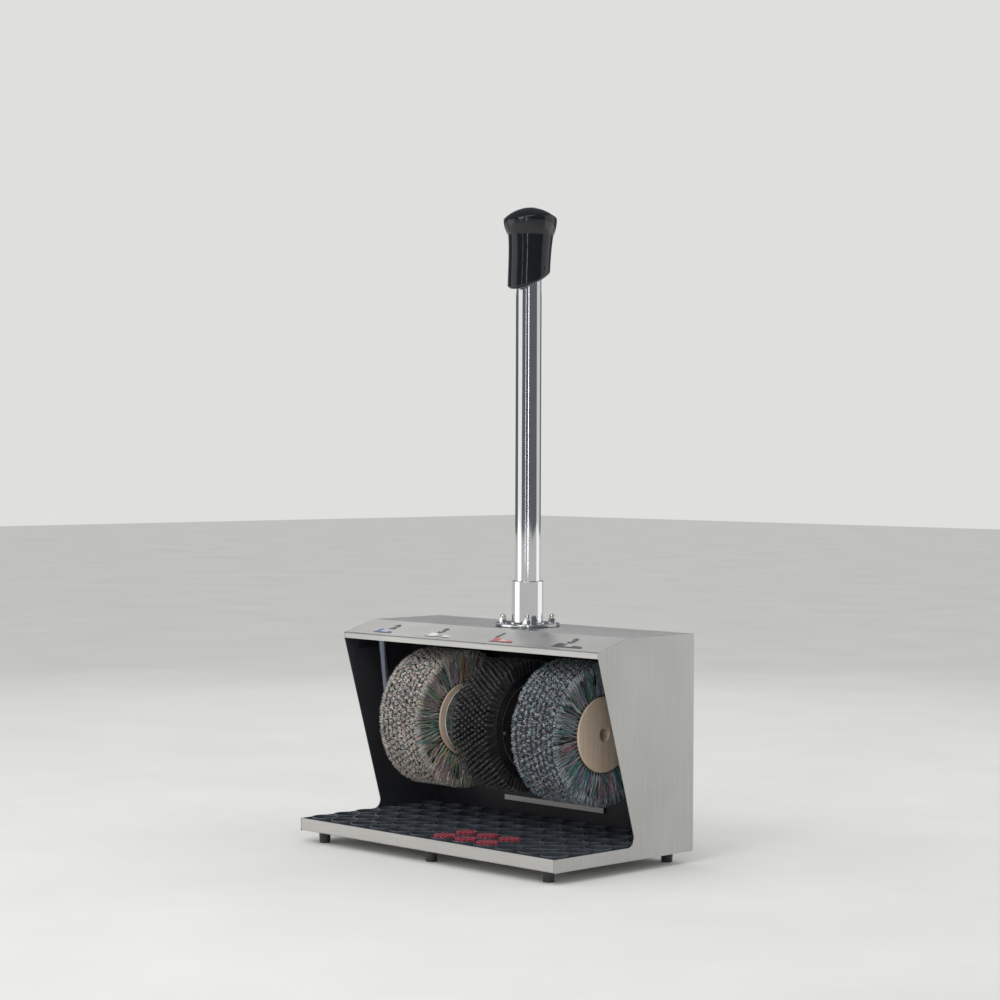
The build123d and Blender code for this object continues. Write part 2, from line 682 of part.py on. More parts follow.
with BuildPart() as power_switch_body:
    with BuildSketch(facing_rear(PANEL_Y + 2, *SWITCH)):
        RectangleRounded(18, 25, 1.5)
    extrude(amount=2)
    with BuildSketch(facing_rear(PANEL_Y, *SWITCH)):
        Rectangle(14.6, 21.6)
    extrude(amount=22)
    with BuildSketch(facing_rear(PANEL_Y + 2, *SWITCH)):
        Rectangle(11.6, 18.6)
    extrude(amount=12, mode=Mode.SUBTRACT)
save(power_switch_body, "power_switch_body")

ROCKER_PIVOT = (SWITCH[0], PANEL_Y - 3.0, SWITCH[1])
ROCKER_TILT = 8.0
ROCKER_HALF = 5.5
ROCKER_PIN_R = 1.5
ROCKER_PIN_HALF = 5.7
rocker_side = Plane(origin=ROCKER_PIVOT, x_dir=(0, 1, 0), z_dir=(1, 0, 0))

with BuildPart() as power_rocker:
    with BuildSketch(rocker_side.rotated((-ROCKER_TILT, 0, 0))):
        Polygon((-4, -6), (-2, -8.3), (4.6, -8.3), (3.4, 0), (4.6, 8.3), (-2, 8.3), (-4, 6), align=None)
    extrude(amount=ROCKER_HALF, both=True)
    with BuildSketch(rocker_side):
        Circle(ROCKER_PIN_R)
    extrude(amount=ROCKER_PIN_HALF, both=True)
save(power_rocker, "power_rocker")


def lead(points, bend, radius):
    """Round lead along straight runs joined by tangent arcs."""
    with BuildPart() as cable:
        with BuildLine() as path:
            FilletPolyline(*points, radius=bend)
        start = Vector(*points[0])
        with BuildSketch(Plane(origin=start, z_dir=Vector(*points[1]) - start)):
            Circle(radius)
        sweep(path=path.line)
    return cable


LEAD_END = (-BOX_X, 120.0, 306.0)
with BuildPart() as motor_lead_gland:
    with BuildSketch(lead_plane(57)):
        Circle(GLAND_R)
    extrude(amount=10)
    with BuildSketch(lead_plane(55)):
        Circle(GLAND_R + 3)
    extrude(amount=4)
    with BuildSketch(lead_plane(50)):
        Circle(MOTOR_LEAD_R + FIT)
    extrude(amount=30, mode=Mode.SUBTRACT)
save(motor_lead_gland, "motor_lead_gland")
save(lead([along_lead(0), along_lead(84), LEAD_END], 8.0, MOTOR_LEAD_R), "motor_lead")

INLET_BACK = (INLET[0], PANEL_Y - 28, INLET[1])
MAINS_ROUTE = [INLET_BACK, (INLET[0], 101, 305), (75, 101, 308), (BOX_X, 118, 308)]
save(lead(MAINS_ROUTE, 7.0, 2.8), "casing_mains_lead")

# ---- handle ----
GASKET_T = 1.0
FLANGE_R = 50.5
FLANGE_Z = (ROOF_Z + GASKET_T, 351.0)
SOCKET_R = 25.0
BACKING = 100.0
BACKING_T = 3.0
ROOF_IN_Z = ROOF_Z - SHEET


def at_handle(z):
    return Plane(origin=(0, HANDLE_Y, z))


with BuildPart() as handle_gasket:
    with BuildSketch(at_handle(ROOF_Z)):
        Circle(FLANGE_R - 0.5)
        Circle(LEAD_HOLE_R, mode=Mode.SUBTRACT)
        with GridLocations(BOLT_SPACING, BOLT_SPACING, 2, 2):
            Circle(BOLT_HOLE_R, mode=Mode.SUBTRACT)
    extrude(amount=GASKET_T)
save(handle_gasket, "handle_gasket")

with BuildPart() as roof_backing_plate:
    with BuildSketch(at_handle(ROOF_IN_Z - BACKING_T)):
        RectangleRounded(BACKING, BACKING, 6)
        Circle(LEAD_HOLE_R, mode=Mode.SUBTRACT)
        with GridLocations(BOLT_SPACING, BOLT_SPACING, 2, 2):
            Circle(BOLT_HOLE_R, mode=Mode.SUBTRACT)
    extrude(amount=BACKING_T)
save(roof_backing_plate, "roof_backing_plate")

with BuildPart() as handle_flange:
    with BuildSketch(at_handle(FLANGE_Z[0])):
        Circle(FLANGE_R)
    extrude(amount=FLANGE_Z[1] - FLANGE_Z[0])
    fillet(handle_flange.faces().sort_by(Axis.Z)[-1].edges(), 1.2)
    with BuildSketch(at_handle(FLANGE_Z[1] - 1)):
        Circle(SOCKET_R)
    extrude(amount=SOCKET_TOP - FLANGE_Z[1] + 1)
    fillet(handle_flange.faces().sort_by(Axis.Z)[-1].edges(), 0.8)
    weld = handle_flange.edges().filter_by(GeomType.CIRCLE).filter_by_position(Axis.Z, 350.9, 351.1)
    fillet(weld.sort_by(SortBy.RADIUS)[0], 3)
    with BuildSketch(at_handle(FLANGE_Z[0])):
        Circle(TUBE_R + FIT)
        with GridLocations(BOLT_SPACING, BOLT_SPACING, 2, 2):
            Circle(BOLT_HOLE_R)
    extrude(amount=100, mode=Mode.SUBTRACT)
save(handle_flange, "handle_flange")

BOLT_R = 3.0
NUT_Z = FLANGE_Z[1]
NUT_HEX_Z = NUT_Z + 1.4
NUT_DOME_Z = NUT_Z + 10.0
NUT_BALL_R = 4.6

with BuildPart() as flange_bolts:
    with BuildSketch(at_handle(ROOF_IN_Z - BACKING_T - 4)):
        with GridLocations(BOLT_SPACING, BOLT_SPACING, 2, 2):
            RegularPolygon(5.0, 6, major_radius=False)
    extrude(amount=4)
    with BuildSketch(at_handle(ROOF_IN_Z - BACKING_T)):
        with GridLocations(BOLT_SPACING, BOLT_SPACING, 2, 2):
            Circle(BOLT_R)
    extrude(amount=NUT_Z + 8 - ROOF_IN_Z + BACKING_T)
save(flange_bolts, "flange_bolts")

with BuildPart() as flange_acorn_nuts:
    with BuildSketch(at_handle(NUT_Z)):
        with GridLocations(BOLT_SPACING, BOLT_SPACING, 2, 2):
            Circle(6.0)
    extrude(amount=1.4)
    with BuildSketch(at_handle(NUT_HEX_Z)):
        with GridLocations(BOLT_SPACING, BOLT_SPACING, 2, 2):
            RegularPolygon(5.0, 6, major_radius=False)
    extrude(amount=6)
    with BuildSketch(at_handle(NUT_HEX_Z + 6)):
        with GridLocations(BOLT_SPACING, BOLT_SPACING, 2, 2):
            Circle(NUT_BALL_R)
    extrude(amount=NUT_DOME_Z - NUT_HEX_Z - 6)
    with Locations(*[(x, y, NUT_DOME_Z) for x, y in HANDLE_BOLTS]):
        Sphere(NUT_BALL_R)
    with BuildSketch(at_handle(NUT_Z)):
        with GridLocations(BOLT_SPACING, BOLT_SPACING, 2, 2):
            Circle(BOLT_R + FIT)
    extrude(amount=8.4, mode=Mode.SUBTRACT)
save(flange_acorn_nuts, "flange_acorn_nuts")

with BuildPart() as handle_tube:
    with BuildSketch(at_handle(FLANGE_Z[0])):
        Circle(TUBE_R)
        Circle(TUBE_R - 1.5, mode=Mode.SUBTRACT)
    extrude(amount=TUBE_TOP - FLANGE_Z[0])
save(handle_tube, "handle_tube")

# Grip sections from the bottom up: height, half width, half depth, set-back of the section's centre.
GRIP_BODY = [
    (858.0, 31.3, 35.3, -0.4),
    (893.0, 31.3, 35.2, 0.0),
    (928.0, 31.6, 35.8, 1.9),
    (962.0, 33.2, 39.4, 4.0),
]
GRIP_HEAD = [
    (955.0, 32.0, 37.6, 4.0),
    (975.0, 38.4, 45.0, 2.6),
    (1001.0, 36.0, 42.0, 3.0),
]
DOME_R = 60.0
DOME_Y = HANDLE_Y + 3.0
BUTTON_R = 14.0
BUTTON_LOW = 990.0
CAVITY_R = 13.3
SWITCH_Z = (956.0, 976.0)
CUT_LOW = (-32.0, 870.0)
CUT_SLOPE = 26.0
CUT_ROUND = 5.0
GRUB_Z = 904.0
GRUB_R = 2.5

with BuildPart() as grip:
    for z, half_width, half_depth, setback in GRIP_HEAD:
        with BuildSketch(Plane(origin=(0, HANDLE_Y + setback, z))):
            Ellipse(half_width, half_depth)
    loft()
    with Locations((0, DOME_Y, HEIGHT - DOME_R)):
        Sphere(DOME_R, mode=Mode.INTERSECT)
    shoulder = grip.edges().filter_by_position(Axis.Z, 980, 996)
    fillet(shoulder, 5)
    for z, half_width, half_depth, setback in GRIP_BODY:
        with BuildSketch(Plane(origin=(0, HANDLE_Y + setback, z))):
            Ellipse(half_width, half_depth)
    loft()
    cut = Plane(origin=(0, HANDLE_Y + CUT_LOW[0], CUT_LOW[1]), x_dir=(1, 0, 0), z_dir=(0, 0, 1))
    split(bisect_by=cut.rotated((CUT_SLOPE, 0, 0)), keep=Keep.TOP)
    fillet(grip.faces().sort_by(Axis.Z)[0].edges(), CUT_ROUND)
    with BuildSketch(at_handle(850)):
        Circle(TUBE_R + FIT)
    extrude(amount=TUBE_TOP - 850, mode=Mode.SUBTRACT)
    with BuildSketch(at_handle(TUBE_TOP)):
        Circle(CAVITY_R)
    extrude(amount=60, mode=Mode.SUBTRACT)
    with BuildSketch(at_handle(986)):
        Circle(BUTTON_R + 0.4)
    extrude(amount=20, mode=Mode.SUBTRACT)
    with BuildSketch(Plane(origin=(0, HANDLE_Y + 2, GRUB_Z), x_dir=(0, 1, 0), z_dir=(1, 0, 0))):
        Circle(GRUB_R + FIT)
    extrude(amount=50, mode=Mode.SUBTRACT)
save(grip, "grip")

with BuildPart() as grip_screw:
    with BuildSketch(Plane(origin=(TUBE_R + 0.2, HANDLE_Y + 2, GRUB_Z), x_dir=(0, 1, 0), z_dir=(1, 0, 0))):
        Circle(GRUB_R)
    extrude(amount=9)
    with BuildSketch(Plane(origin=(TUBE_R + 6, HANDLE_Y + 2, GRUB_Z), x_dir=(0, 1, 0), z_dir=(1, 0, 0))):
        RegularPolygon(1.25, 6, major_radius=False)
    extrude(amount=5, mode=Mode.SUBTRACT)
save(grip_screw, "grip_screw")

with BuildPart() as start_switch:
    with BuildSketch(at_handle(SWITCH_Z[0])):
        Circle(CAVITY_R - FIT)
    extrude(amount=SWITCH_Z[1] - SWITCH_Z[0])
    with BuildSketch(at_handle(TUBE_TOP)):
        Circle(9)
    extrude(amount=SWITCH_Z[0] - TUBE_TOP)
save(start_switch, "start_switch")

with BuildPart() as start_button:
    with BuildSketch(at_handle(BUTTON_LOW)):
        Circle(BUTTON_R)
    extrude(amount=HEIGHT + 1 - BUTTON_LOW)
    with Locations((0, DOME_Y, HEIGHT - DOME_R)):
        Sphere(DOME_R, mode=Mode.INTERSECT)
    fillet(start_button.faces().sort_by(Axis.Z)[-1].edges(), 1.0)
    with BuildSketch(at_handle(SWITCH_Z[1] + 3.3)):
        Circle(4)
    extrude(amount=BUTTON_LOW - SWITCH_Z[1] - 3.3)
save(start_button, "start_button")


def coil_spring(base, radius, wire, height, turns):
    """Compression spring standing on a plane."""
    with BuildPart() as spring:
        with BuildLine(base) as path:
            rise = height - 2 * wire
            Helix(pitch=rise / turns, height=rise, radius=radius, direction=base.z_dir)
        with BuildSketch(Plane(origin=path.line @ 0, z_dir=path.line % 0)):
            Circle(wire / 2)
        sweep(is_frenet=True)
    return spring


button_spring = coil_spring(at_handle(SWITCH_Z[1] + 0.9), 7.0, 0.9, BUTTON_LOW - SWITCH_Z[1], 4.5)
save(button_spring, "button_spring")

BOX_ENTRY = (0, BOX_Y[0], 316)
save(lead([(0, HANDLE_Y, TUBE_TOP), (0, HANDLE_Y, 316), BOX_ENTRY], 13.0, 2.2), "switch_lead")

# ---- polish dispenser ----
DISPENSER_X = -240.0
DISPENSER_LEAN = math.radians(7.5)
DISPENSER_UP = (0, -math.sin(DISPENSER_LEAN), math.cos(DISPENSER_LEAN))
DISPENSER_MARK = (-11.0, 298.0)
DISPENSER_DROP = 98.0
DISPENSER_LOW = (
    DISPENSER_X,
    DISPENSER_MARK[0] - DISPENSER_DROP * DISPENSER_UP[1],
    DISPENSER_MARK[1] - DISPENSER_DROP * DISPENSER_UP[2],
)
DISPENSER_LENGTH = 134.0
DISPENSER_R = 7.25
DISPENSER_BORE = 6.25
ROD_R = 4.0
COLLAR_T = 3.0
PISTON = (COLLAR_T + 0.3, 11.0)
STOP = (45.0, 48.0)


def on_dispenser(distance):
    """Plane square to the dispenser tube, at a distance up from its lower end."""
    origin = Vector(*DISPENSER_LOW) + Vector(*DISPENSER_UP) * distance
    return Plane(origin=origin, x_dir=(1, 0, 0), z_dir=DISPENSER_UP)


def dispenser_disc(low, high, radius, mode=Mode.ADD):
    with BuildSketch(on_dispenser(low)) as section:
        Circle(radius)
    extrude(section.sketch, amount=high - low, mode=mode)


with BuildPart() as dispenser_tube:
    dispenser_disc(0, DISPENSER_LENGTH, DISPENSER_R)
    fillet(dispenser_tube.edges(), 0.6)
    dispenser_disc(COLLAR_T, STOP[0], DISPENSER_BORE, Mode.SUBTRACT)
    dispenser_disc(STOP[1], DISPENSER_LENGTH - 2, DISPENSER_BORE, Mode.SUBTRACT)
    dispenser_disc(-1, DISPENSER_LENGTH - 2, 3, Mode.SUBTRACT)
    dispenser_disc(-1, COLLAR_T + 1, ROD_R + FIT, Mode.SUBTRACT)
save(dispenser_tube, "dispenser_tube")

with BuildPart() as dispenser_nozzle:
    dispenser_disc(PISTON[0], PISTON[1], DISPENSER_BORE - FIT)
    dispenser_disc(-16, PISTON[0], ROD_R)
    with BuildSketch(on_dispenser(-22)):
        Circle(7.0)
    with BuildSketch(on_dispenser(-14)):
        Circle(ROD_R + 0.5)
    loft()
    fillet(dispenser_nozzle.faces().sort_by(Axis.Z)[0].edges(), 1.5)
save(dispenser_nozzle, "dispenser_nozzle")

nozzle_spring = coil_spring(on_dispenser(PISTON[1] + 0.5), 5.2, 0.9, STOP[0] - PISTON[1] - 0.2, 7)
save(nozzle_spring, "nozzle_spring")

with BuildPart() as dispenser_bracket:
    with BuildSketch(on_dispenser(116)):
        Circle(DISPENSER_R + 3)
        with Locations((-(INNER_X + DISPENSER_X) / 2, 0)):
            Rectangle(INNER_X + DISPENSER_X, 12)
        Circle(DISPENSER_R + FIT, mode=Mode.SUBTRACT)
    extrude(amount=12)
    upright_box((-INNER_X, -INNER_X + 2), (-32, 8), (300, 332))
save(dispenser_bracket, "dispenser_bracket")
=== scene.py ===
"""Looks of the shoe polisher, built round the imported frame, in metres and in the frame's axes."""

import math

import bpy
import numpy as np
from mathutils import Matrix, Vector


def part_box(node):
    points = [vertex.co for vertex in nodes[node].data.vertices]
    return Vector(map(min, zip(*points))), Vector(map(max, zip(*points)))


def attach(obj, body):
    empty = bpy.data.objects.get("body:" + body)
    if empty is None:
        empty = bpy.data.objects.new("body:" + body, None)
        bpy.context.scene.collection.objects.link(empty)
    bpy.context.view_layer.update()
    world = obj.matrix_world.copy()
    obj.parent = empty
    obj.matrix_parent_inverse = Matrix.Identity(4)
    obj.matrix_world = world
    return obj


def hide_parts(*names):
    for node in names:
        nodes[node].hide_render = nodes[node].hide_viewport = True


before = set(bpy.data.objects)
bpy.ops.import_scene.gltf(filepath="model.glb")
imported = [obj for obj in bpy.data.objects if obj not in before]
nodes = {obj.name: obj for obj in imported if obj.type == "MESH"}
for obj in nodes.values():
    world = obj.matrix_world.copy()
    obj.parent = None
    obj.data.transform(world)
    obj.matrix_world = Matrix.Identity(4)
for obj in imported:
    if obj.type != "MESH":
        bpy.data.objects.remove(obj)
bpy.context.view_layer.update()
X, Y, Z = 0, 1, 2


def placed(name, data):
    """A new object in the scene round a mesh, a curve, a light or a camera."""
    made = bpy.data.objects.new(name, data)
    bpy.context.scene.collection.objects.link(made)
    return made


# ---- node materials ----
# the Mix node's colour sockets
MIX_A, MIX_B, MIX_RESULT = 6, 7, 2


class Finish:
    """A node material round one Principled shader."""

    def __init__(self, name, color, roughness, **sockets):
        self.material = bpy.data.materials.new(name)
        self.material.use_nodes = True
        self.tree = self.material.node_tree
        self.shader = self.tree.nodes["Principled BSDF"]
        self.put((*color, 1.0), "Base Color")
        self.put(roughness, "Roughness")
        for socket, value in sockets.items():
            self.put(value, socket.replace("_", " "))

    def node(self, kind, **settings):
        made = self.tree.nodes.new("ShaderNode" + kind)
        for key, value in settings.items():
            setattr(made, key, value)
        return made

    def link(self, value, socket):
        """Feeds a socket with another node's output or with a plain value."""
        if isinstance(value, bpy.types.NodeSocket):
            self.tree.links.new(value, socket)
        else:
            socket.default_value = value

    def put(self, value, name):
        self.link(value, self.shader.inputs[name])

    def place(self, scale=(1.0, 1.0, 1.0)):
        coordinates = self.node("TexCoord")
        mapping = self.node("Mapping")
        self.link(coordinates.outputs["Object"], mapping.inputs["Vector"])
        self.link(scale, mapping.inputs["Scale"])
        return mapping.outputs["Vector"]

    def split(self, vector):
        parts = self.node("SeparateXYZ")
        self.link(vector, parts.inputs[0])
        return parts.outputs

    def noise(self, vector, scale=1.0, detail=3.0, rough=0.55):
        made = self.node("TexNoise")
        self.link(vector, made.inputs["Vector"])
        self.link(scale, made.inputs["Scale"])
        self.link(detail, made.inputs["Detail"])
        self.link(rough, made.inputs["Roughness"])
        return made.outputs["Fac"]

    def cells(self, vector, scale=1.0):
        made = self.node("TexVoronoi")
        self.link(vector, made.inputs["Vector"])
        self.link(scale, made.inputs["Scale"])
        return made.outputs

    def math(self, operation, first, second=0.0):
        made = self.node("Math", operation=operation)
        self.link(first, made.inputs[0])
        self.link(second, made.inputs[1])
        return made.outputs[0]

    def span(self, value, low, high, start=0.0, end=1.0):
        made = self.node("MapRange")
        sockets = ("Value", "From Min", "From Max", "To Min", "To Max")
        for socket, number in zip(sockets, (value, start, end, low, high)):
            self.link(number, made.inputs[socket])
        return made.outputs["Result"]

    def ramp(self, factor, stops, interpolation="LINEAR"):
        made = self.node("ValToRGB")
        made.color_ramp.interpolation = interpolation
        elements = made.color_ramp.elements
        while len(elements) < len(stops):
            elements.new(0.5)
        for element, (place, color) in zip(elements, stops):
            element.position = place
            element.color = (*color, 1.0)
        self.link(factor, made.inputs["Fac"])
        return made.outputs["Color"]

    def mix(self, factor, first, second):
        made = self.node("Mix", data_type="RGBA")
        self.link(factor, made.inputs["Factor"])
        for socket, color in ((MIX_A, first), (MIX_B, second)):
            linked = isinstance(color, bpy.types.NodeSocket)
            self.link(color if linked else (*color, 1.0), made.inputs[socket])
        return made.outputs[MIX_RESULT]

    def bump(self, height, strength, distance):
        made = self.node("Bump")
        self.link(strength, made.inputs["Strength"])
        self.link(distance, made.inputs["Distance"])
        self.link(height, made.inputs["Height"])
        self.put(made.outputs["Normal"], "Normal")


def shade(color, factor):
    return tuple(min(1.0, c * factor) for c in color)


STEEL = (0.60, 0.59, 0.565)
PAINT_ROUGHNESS = 0.22


def brushed(name, grain, color=STEEL, inner=None):
    """Stainless sheet with its grain along one axis. inner masks the faces that are painted near-black: on
    the hood and side panels this is painted shade for the dark the bare steel reflects inside the casing, on
    the motor plate it is the plate's black paint.
    """
    finish = Finish(name, color, 0.3, Metallic=1.0)
    scale = [1800.0] * 3
    scale[grain] = 14.0
    fine = finish.noise(finish.place(tuple(scale)))
    wide = finish.noise(finish.place(tuple(s * 0.3 for s in scale)), detail=2.0)
    smudge = finish.noise(finish.place(), 7.0, 4.0)
    streak = finish.math("ADD", finish.math("MULTIPLY", fine, 0.65), finish.math("MULTIPLY", wide, 0.35))
    steel = finish.ramp(streak, ((0.3, shade(color, 0.84)), (0.7, shade(color, 1.12))))
    steel = finish.mix(finish.span(smudge, 0.0, 0.25, 0.35, 0.75), steel, shade(color, 0.82))
    grooves = finish.span(streak, 0.25, 0.40, 0.3, 0.7)
    rough = finish.math("ADD", grooves, finish.span(smudge, -0.03, 0.05, 0.3, 0.7))
    if inner:
        mask = inner(finish)
        speck = finish.noise(finish.place(), 900.0, 2.0)
        # near-black with a fine speckle: painted shade on the casing's inner faces, the real black paint on
        # the motor plate's front
        black_paint_and_shade = finish.ramp(speck, ((0.3, (0.032, 0.034, 0.040)), (0.8, (0.050, 0.052, 0.060))))
        steel = finish.mix(mask, steel, black_paint_and_shade)
        keep = finish.math("SUBTRACT", 1.0, mask)
        finish.put(keep, "Metallic")
        bare = finish.math("MULTIPLY", rough, keep)
        rough = finish.math("ADD", bare, finish.math("MULTIPLY", PAINT_ROUGHNESS, mask))
    finish.put(steel, "Base Color")
    finish.put(rough, "Roughness")
    finish.bump(streak, 0.08, 0.0002)
    return finish.material


def polished(name, color, roughness=0.05):
    """Polished plating with faint cloudy wear."""
    finish = Finish(name, color, roughness, Metallic=1.0)
    cloud = finish.noise(finish.place((30.0, 30.0, 9.0)), 1.0, 4.0)
    finish.put(finish.ramp(cloud, ((0.3, shade(color, 0.94)), (0.8, color))), "Base Color")
    finish.put(finish.span(cloud, roughness * 0.7, roughness * 1.8, 0.3, 0.8), "Roughness")
    return finish.material


def machined(name, color, roughness, scale=(900.0, 40.0, 40.0)):
    """Turned or plated metal with tool marks."""
    finish = Finish(name, color, roughness, Metallic=1.0)
    marks = finish.noise(finish.place(scale))
    stain = finish.noise(finish.place(), 60.0, 4.0)
    finish.put(finish.ramp(stain, ((0.3, shade(color, 0.78)), (0.75, color))), "Base Color")
    finish.put(finish.span(marks, roughness * 0.75, roughness * 1.35, 0.3, 0.7), "Roughness")
    finish.bump(marks, 0.15, 0.0001)
    return finish.material


def moulded(name, color, roughness, grain=1400.0, depth=0.2, **sockets):
    """Moulded plastic or rubber: fine surface grain, slightly uneven colour."""
    finish = Finish(name, color, roughness, **sockets)
    pores = finish.noise(finish.place(), grain, 3.0)
    cloud = finish.noise(finish.place(), 35.0, 4.0)
    finish.put(finish.ramp(cloud, ((0.3, shade(color, 0.72)), (0.75, shade(color, 1.2)))), "Base Color")
    finish.put(finish.span(cloud, roughness * 0.85, roughness * 1.15, 0.3, 0.75), "Roughness")
    finish.bump(pores, depth, 0.0002)
    return finish.material


def dress(material, *names):
    """Puts a material on CAD nodes."""
    for name in names:
        slots = nodes[name].data.materials
        if len(slots) == 0:
            slots.append(material)
        for i in range(len(slots)):
            slots[i] = material


def dress_all(table):
    """table holds a material and the names of its nodes, row by row."""
    for material, names in table:
        dress(material, *names.split())


# ---- the sheet-metal casing ----
panel_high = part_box("side_panel_right")[1]
hood_low, hood_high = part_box("hood")
SHEET = 0.0015
ROOF_EDGE_Y = 0.004
LIP_TOP_Z = 0.328


def inside_panels(finish):
    """The side panels' inner faces, in front of the rear panel, which get painted shade."""
    place = finish.split(finish.place())
    inward = finish.math("LESS_THAN", finish.math("ABSOLUTE", place[X]), panel_high.x - SHEET / 2)
    ahead = finish.math("LESS_THAN", place[Y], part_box("rear_panel")[0].y - SHEET)
    return finish.math("MULTIPLY", inward, ahead)


def inside_hood(finish):
    """The hood's underside, which gets painted shade: deeper than half the sheet under the roof, the bevel
    and the lip.
    """
    run, rise = ROOF_EDGE_Y - hood_low.y, hood_high.z - LIP_TOP_Z
    length = math.hypot(run, rise)
    y, z = finish.split(finish.place())[1:3]
    roof = finish.math("SUBTRACT", hood_high.z, z)
    lip = finish.math("SUBTRACT", y, hood_low.y)
    ahead = finish.math("MULTIPLY", finish.math("SUBTRACT", y, ROOF_EDGE_Y), rise / length)
    above = finish.math("MULTIPLY", roof, run / length)
    bevel = finish.math("ADD", ahead, above)
    nearest = finish.math("MINIMUM", finish.math("MINIMUM", roof, lip), bevel)
    return finish.math("GREATER_THAN", nearest, SHEET / 2)


dress_all((
    (brushed("brushed_hood", X, inner=inside_hood), "hood"),
    (brushed("brushed_panels", Z, (0.56, 0.555, 0.54), inside_panels), "side_panel_left side_panel_right"),
    (brushed("brushed_tray", X, (0.66, 0.65, 0.625)), "base_tray"),
    (brushed("brushed_rear", X), "rear_panel"),
    (moulded("satin_black_paint", (0.022, 0.022, 0.028), 0.36, grain=700.0, depth=0.12),
     "inner_liner control_box control_box_lid dispenser_bracket"),
    (machined("zinc_sheet", (0.50, 0.50, 0.49), 0.34, (200.0, 200.0, 60.0)),
     "motor_bracket motor_clamp_band capacitor_clip roof_backing_plate"),
))


def plate_face(finish):
    """The motor plate's front, behind its bare bottom strip."""
    behind = finish.math("SUBTRACT", finish.split(finish.place())[Y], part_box("motor_plate")[0].y)
    return finish.math("GREATER_THAN", behind, SHEET)


dress_all((
    (brushed("plate_steel", X, inner=plate_face), "motor_plate"),
    (machined("zinc_fasteners", (0.66, 0.65, 0.63), 0.28),
     "rear_panel_screws feet_screws motor_plate_bolts clamp_bolts drum_screws brush_washers brush_end_screws "
     "flange_bolts grip_screw"),
    (machined("turned_shaft", (0.62, 0.62, 0.61), 0.2, (1800.0, 60.0, 60.0)),
     "brush_shaft shaft_spacers motor_bearings button_spring nozzle_spring motor_stator motor_rotor_core"),
    # the bells are pale and nearly non-metallic so they read bright: painted highlight standing for the glint
    # on their polished aluminium rims
    (moulded("cast_bells", (0.80, 0.80, 0.79), 0.30, 260.0, 0.08, Metallic=0.15),
     "motor_end_bell_left motor_end_bell_right run_capacitor"),
    (machined("motor_shell_steel", (0.66, 0.67, 0.69), 0.20, (60.0, 700.0, 700.0)), "motor_casing"),
    (machined("enamelled_copper", (0.55, 0.22, 0.09), 0.3, (300.0, 2200.0, 2200.0)), "motor_windings"),
    (moulded("moulded_black", (0.03, 0.03, 0.032), 0.45),
     "mains_inlet power_switch_body power_rocker start_switch"),
    (moulded("lead_sheath", (0.05, 0.05, 0.055), 0.5), "motor_lead casing_mains_lead switch_lead"),
    (moulded("mat_rubber", (0.060, 0.070, 0.086), 0.26, 900.0, 0.25),
     "floor_mat handle_gasket motor_lead_gland"),
    (moulded("foot_rubber", (0.030, 0.030, 0.032), 0.30, 900.0, 0.2), "rubber_feet"),
    (machined("nozzle_brass", (0.62, 0.48, 0.22), 0.2), "dispenser_nozzle"),
    # the dispenser tube's dark blue-grey is painted shade and a painted reflection of the dim inside of the
    # casing
    (polished("dispenser_steel", (0.17, 0.19, 0.24), 0.28), "dispenser_tube"),
    (polished("polished_chrome", (0.82, 0.83, 0.84), 0.035), "handle_tube handle_flange flange_acorn_nuts"),
    (moulded("grip_gloss_black", (0.008, 0.009, 0.011), 0.10, 300.0, 0.03,
             Specular_IOR_Level=0.4, Coat_Weight=0.25, Coat_Roughness=0.04), "grip"),
    (moulded("button_black", (0.020, 0.020, 0.022), 0.22, 900.0, 0.1), "start_button"),
))


# ---- brushes ----
shaft_low, shaft_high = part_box("brush_shaft")
axis_y = (shaft_low.y + shaft_high.y) / 2
axis_z = (shaft_low.z + shaft_high.z) / 2


def from_axis(finish, y, z):
    """How far up, back and out from the shaft a point is."""
    up = finish.math("SUBTRACT", z, axis_z)
    back = finish.math("SUBTRACT", y, axis_y)
    squares = finish.math("ADD", finish.math("MULTIPLY", up, up), finish.math("MULTIPLY", back, back))
    return up, back, finish.math("SQRT", squares)


def wood():
    """Pale beech with fine grain and short dark flecks."""
    finish = Finish("beech_core", (0.60, 0.44, 0.30), 0.5)
    grain = finish.noise(finish.place((260.0, 420.0, 12.0)), 1.0, 4.0, 0.6)
    flecks = finish.noise(finish.place((900.0, 900.0, 90.0)), 1.0, 2.0)
    tones = ((0.28, (0.62, 0.47, 0.35)), (0.5, (0.72, 0.57, 0.44)), (0.72, (0.80, 0.66, 0.52)))
    tone = finish.ramp(grain, tones)
    tone = finish.mix(finish.span(flecks, 0.0, 0.6, 0.60, 0.78), tone, (0.48, 0.34, 0.23))
    finish.put(tone, "Base Color")
    finish.put(finish.span(grain, 0.38, 0.58, 0.3, 0.7), "Roughness")
    finish.bump(grain, 0.2, 0.0004)
    return finish.material


dress(wood(), "brush_left_core", "brush_right_core")


DRUM_GLINT_R = 0.0692
DRUM_GLINT_HALF = 0.0009


def drum_finish():
    """Gloss black drum with a painted highlight: a bright line on its rim ring that stands for the glint on
    the ring's edge.
    """
    finish = Finish("drum_gloss_black", (0.010, 0.010, 0.013), 0.14)
    y, z = finish.split(finish.place())[1:3]
    glint_line = finish.math("COMPARE", from_axis(finish, y, z)[2], DRUM_GLINT_R)
    glint_line.node.inputs[2].default_value = DRUM_GLINT_HALF
    cloud = finish.noise(finish.place(), 60.0)
    black = finish.ramp(cloud, ((0.3, (0.008, 0.008, 0.010)), (0.7, (0.016, 0.016, 0.020))))
    # the bright line on the rim ring is a painted highlight
    finish.put(finish.mix(glint_line, black, (0.80, 0.80, 0.82)), "Base Color")
    gloss = finish.span(cloud, 0.10, 0.18, 0.3, 0.7)
    finish.put(finish.math("ADD", gloss, finish.math("MULTIPLY", glint_line, 0.2)), "Roughness")
    return finish.material


dress(drum_finish(), "brush_middle_drum")


BED_CELLS = 620.0
BED_STREAKS = 26.0


